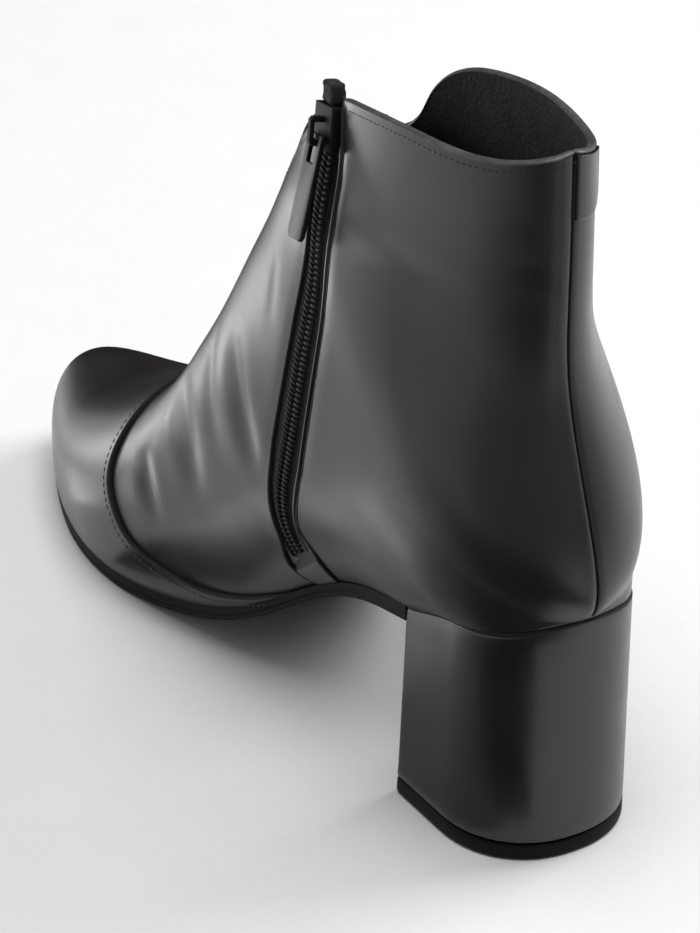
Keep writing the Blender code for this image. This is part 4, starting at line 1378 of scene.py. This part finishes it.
def soft_light(name, place, aim, wide, high, power, diffuse=True):
    light = bpy.data.lights.new(name, "AREA")
    light.shape = "RECTANGLE"
    light.size, light.size_y = wide, high
    light.energy = power
    lamp = bpy.data.objects.new(name, light)
    lamp.location = place
    lamp.rotation_euler = (Vector(aim) - Vector(place)).to_track_quat("-Z", "Y").to_euler()
    lamp.visible_camera, lamp.visible_diffuse = False, diffuse
    bpy.context.scene.collection.objects.link(lamp)


def floor_glow(name, x, y, wide, high, power):
    """A glowing patch that lies on the floor and only shows in reflections."""
    soft_light(name, Vector((x, y, GLOW_HEIGHT)), Vector((x, y, 1.0)), wide, high, power, diffuse=False)


paper("studio_floor", 6.0, 6.0, "#f7f7f7", "#f4f4f4", Vector(), UP, TO_TOE)
card("near_card", 0.25, 0.34, AWAY * -0.30 + IMAGE_RIGHT * -0.045 + UP * 0.05, UP, IMAGE_RIGHT)
card("heel_card", 0.17, 0.30, AWAY * -0.27 + IMAGE_RIGHT * -0.035 + UP * 0.003, UP, IMAGE_RIGHT)
card("side_card", 0.056, 0.030, Vector((0.024, 0.0565, 0.003)), UP, TO_TOE)
card("breast_card", 0.10, 0.17, Vector((-0.08, 0.112, 0.002)), UP, TO_TOE, "#a6a6a6", "#a0a0a0")
card("shaft_card", 0.30, 0.16, Vector((0.35, 0.26, 0.002)), UP, TO_TOE, "#c8c8c8", "#c2c2c2")
card("toe_card", 0.34, 0.36, Vector((0.30, -0.19, 0.003)), UP, TO_TOE)
card("far_card", 0.60, 0.34, Vector((0.44, -0.30, 0.17)), -TO_TOE, TO_INNER)
soft_light("key", IMAGE_RIGHT * 1.3 + AWAY * 0.6 + UP * 1.0, MIDDLE, 1.0, 1.0, 17)
soft_light("top", AWAY * -0.1 + UP * 1.9, MIDDLE, 1.4, 1.4, 24)
soft_light("left_panel", Vector((0.82, 0.46, 0.18)), MIDDLE, 0.7, 0.34, 2.5, diffuse=False)
floor_glow("left_glow", 0.40, 0.105, 0.34, 0.10, 0.42)
floor_glow("waist_glow", 0.018, 0.090, 0.07, 0.04, 0.013)
floor_glow("toe_glow", 0.112, 0.056, 0.045, 0.026, 0.006)
soft_light("inner_panel", Vector((0.05, 1.1, 0.25)), Vector((0.05, 0.0, 0.20)), 0.7, 0.5, 0.7, diffuse=False)

world = bpy.data.worlds.new("studio")
world.use_nodes = True
backdrop = world.node_tree.nodes["Background"]
backdrop.inputs["Color"].default_value = (1, 1, 1, 1)
backdrop.inputs["Strength"].default_value = WORLD_STRENGTH
bpy.context.scene.world = world
bpy.context.scene.view_settings.view_transform = "Standard"
print("lights:", len(bpy.data.lights))

# %% [markdown]
# The camera stands behind the boot on its inner side and looks down at it, through a long lens.

# %% Camera
EYE = placed((-820.8, 560.1, 686.1))
TARGET = placed((85.3, 15.6, 73.0))
FOCAL_PIXELS, IMAGE_WIDE = 4950.0, 700.0
camera = bpy.data.cameras.new("camera")
camera.sensor_fit = "HORIZONTAL"
camera.sensor_width = 36.0
camera.lens = FOCAL_PIXELS / IMAGE_WIDE * camera.sensor_width
camera.clip_end = 20.0
view = bpy.data.objects.new("camera", camera)
view.location = EYE
view.rotation_euler = Vector(TARGET - EYE).to_track_quat("-Z", "Y").to_euler()
bpy.context.scene.collection.objects.link(view)
bpy.context.scene.camera = view
print("camera lens", round(camera.lens, 1), "mm")
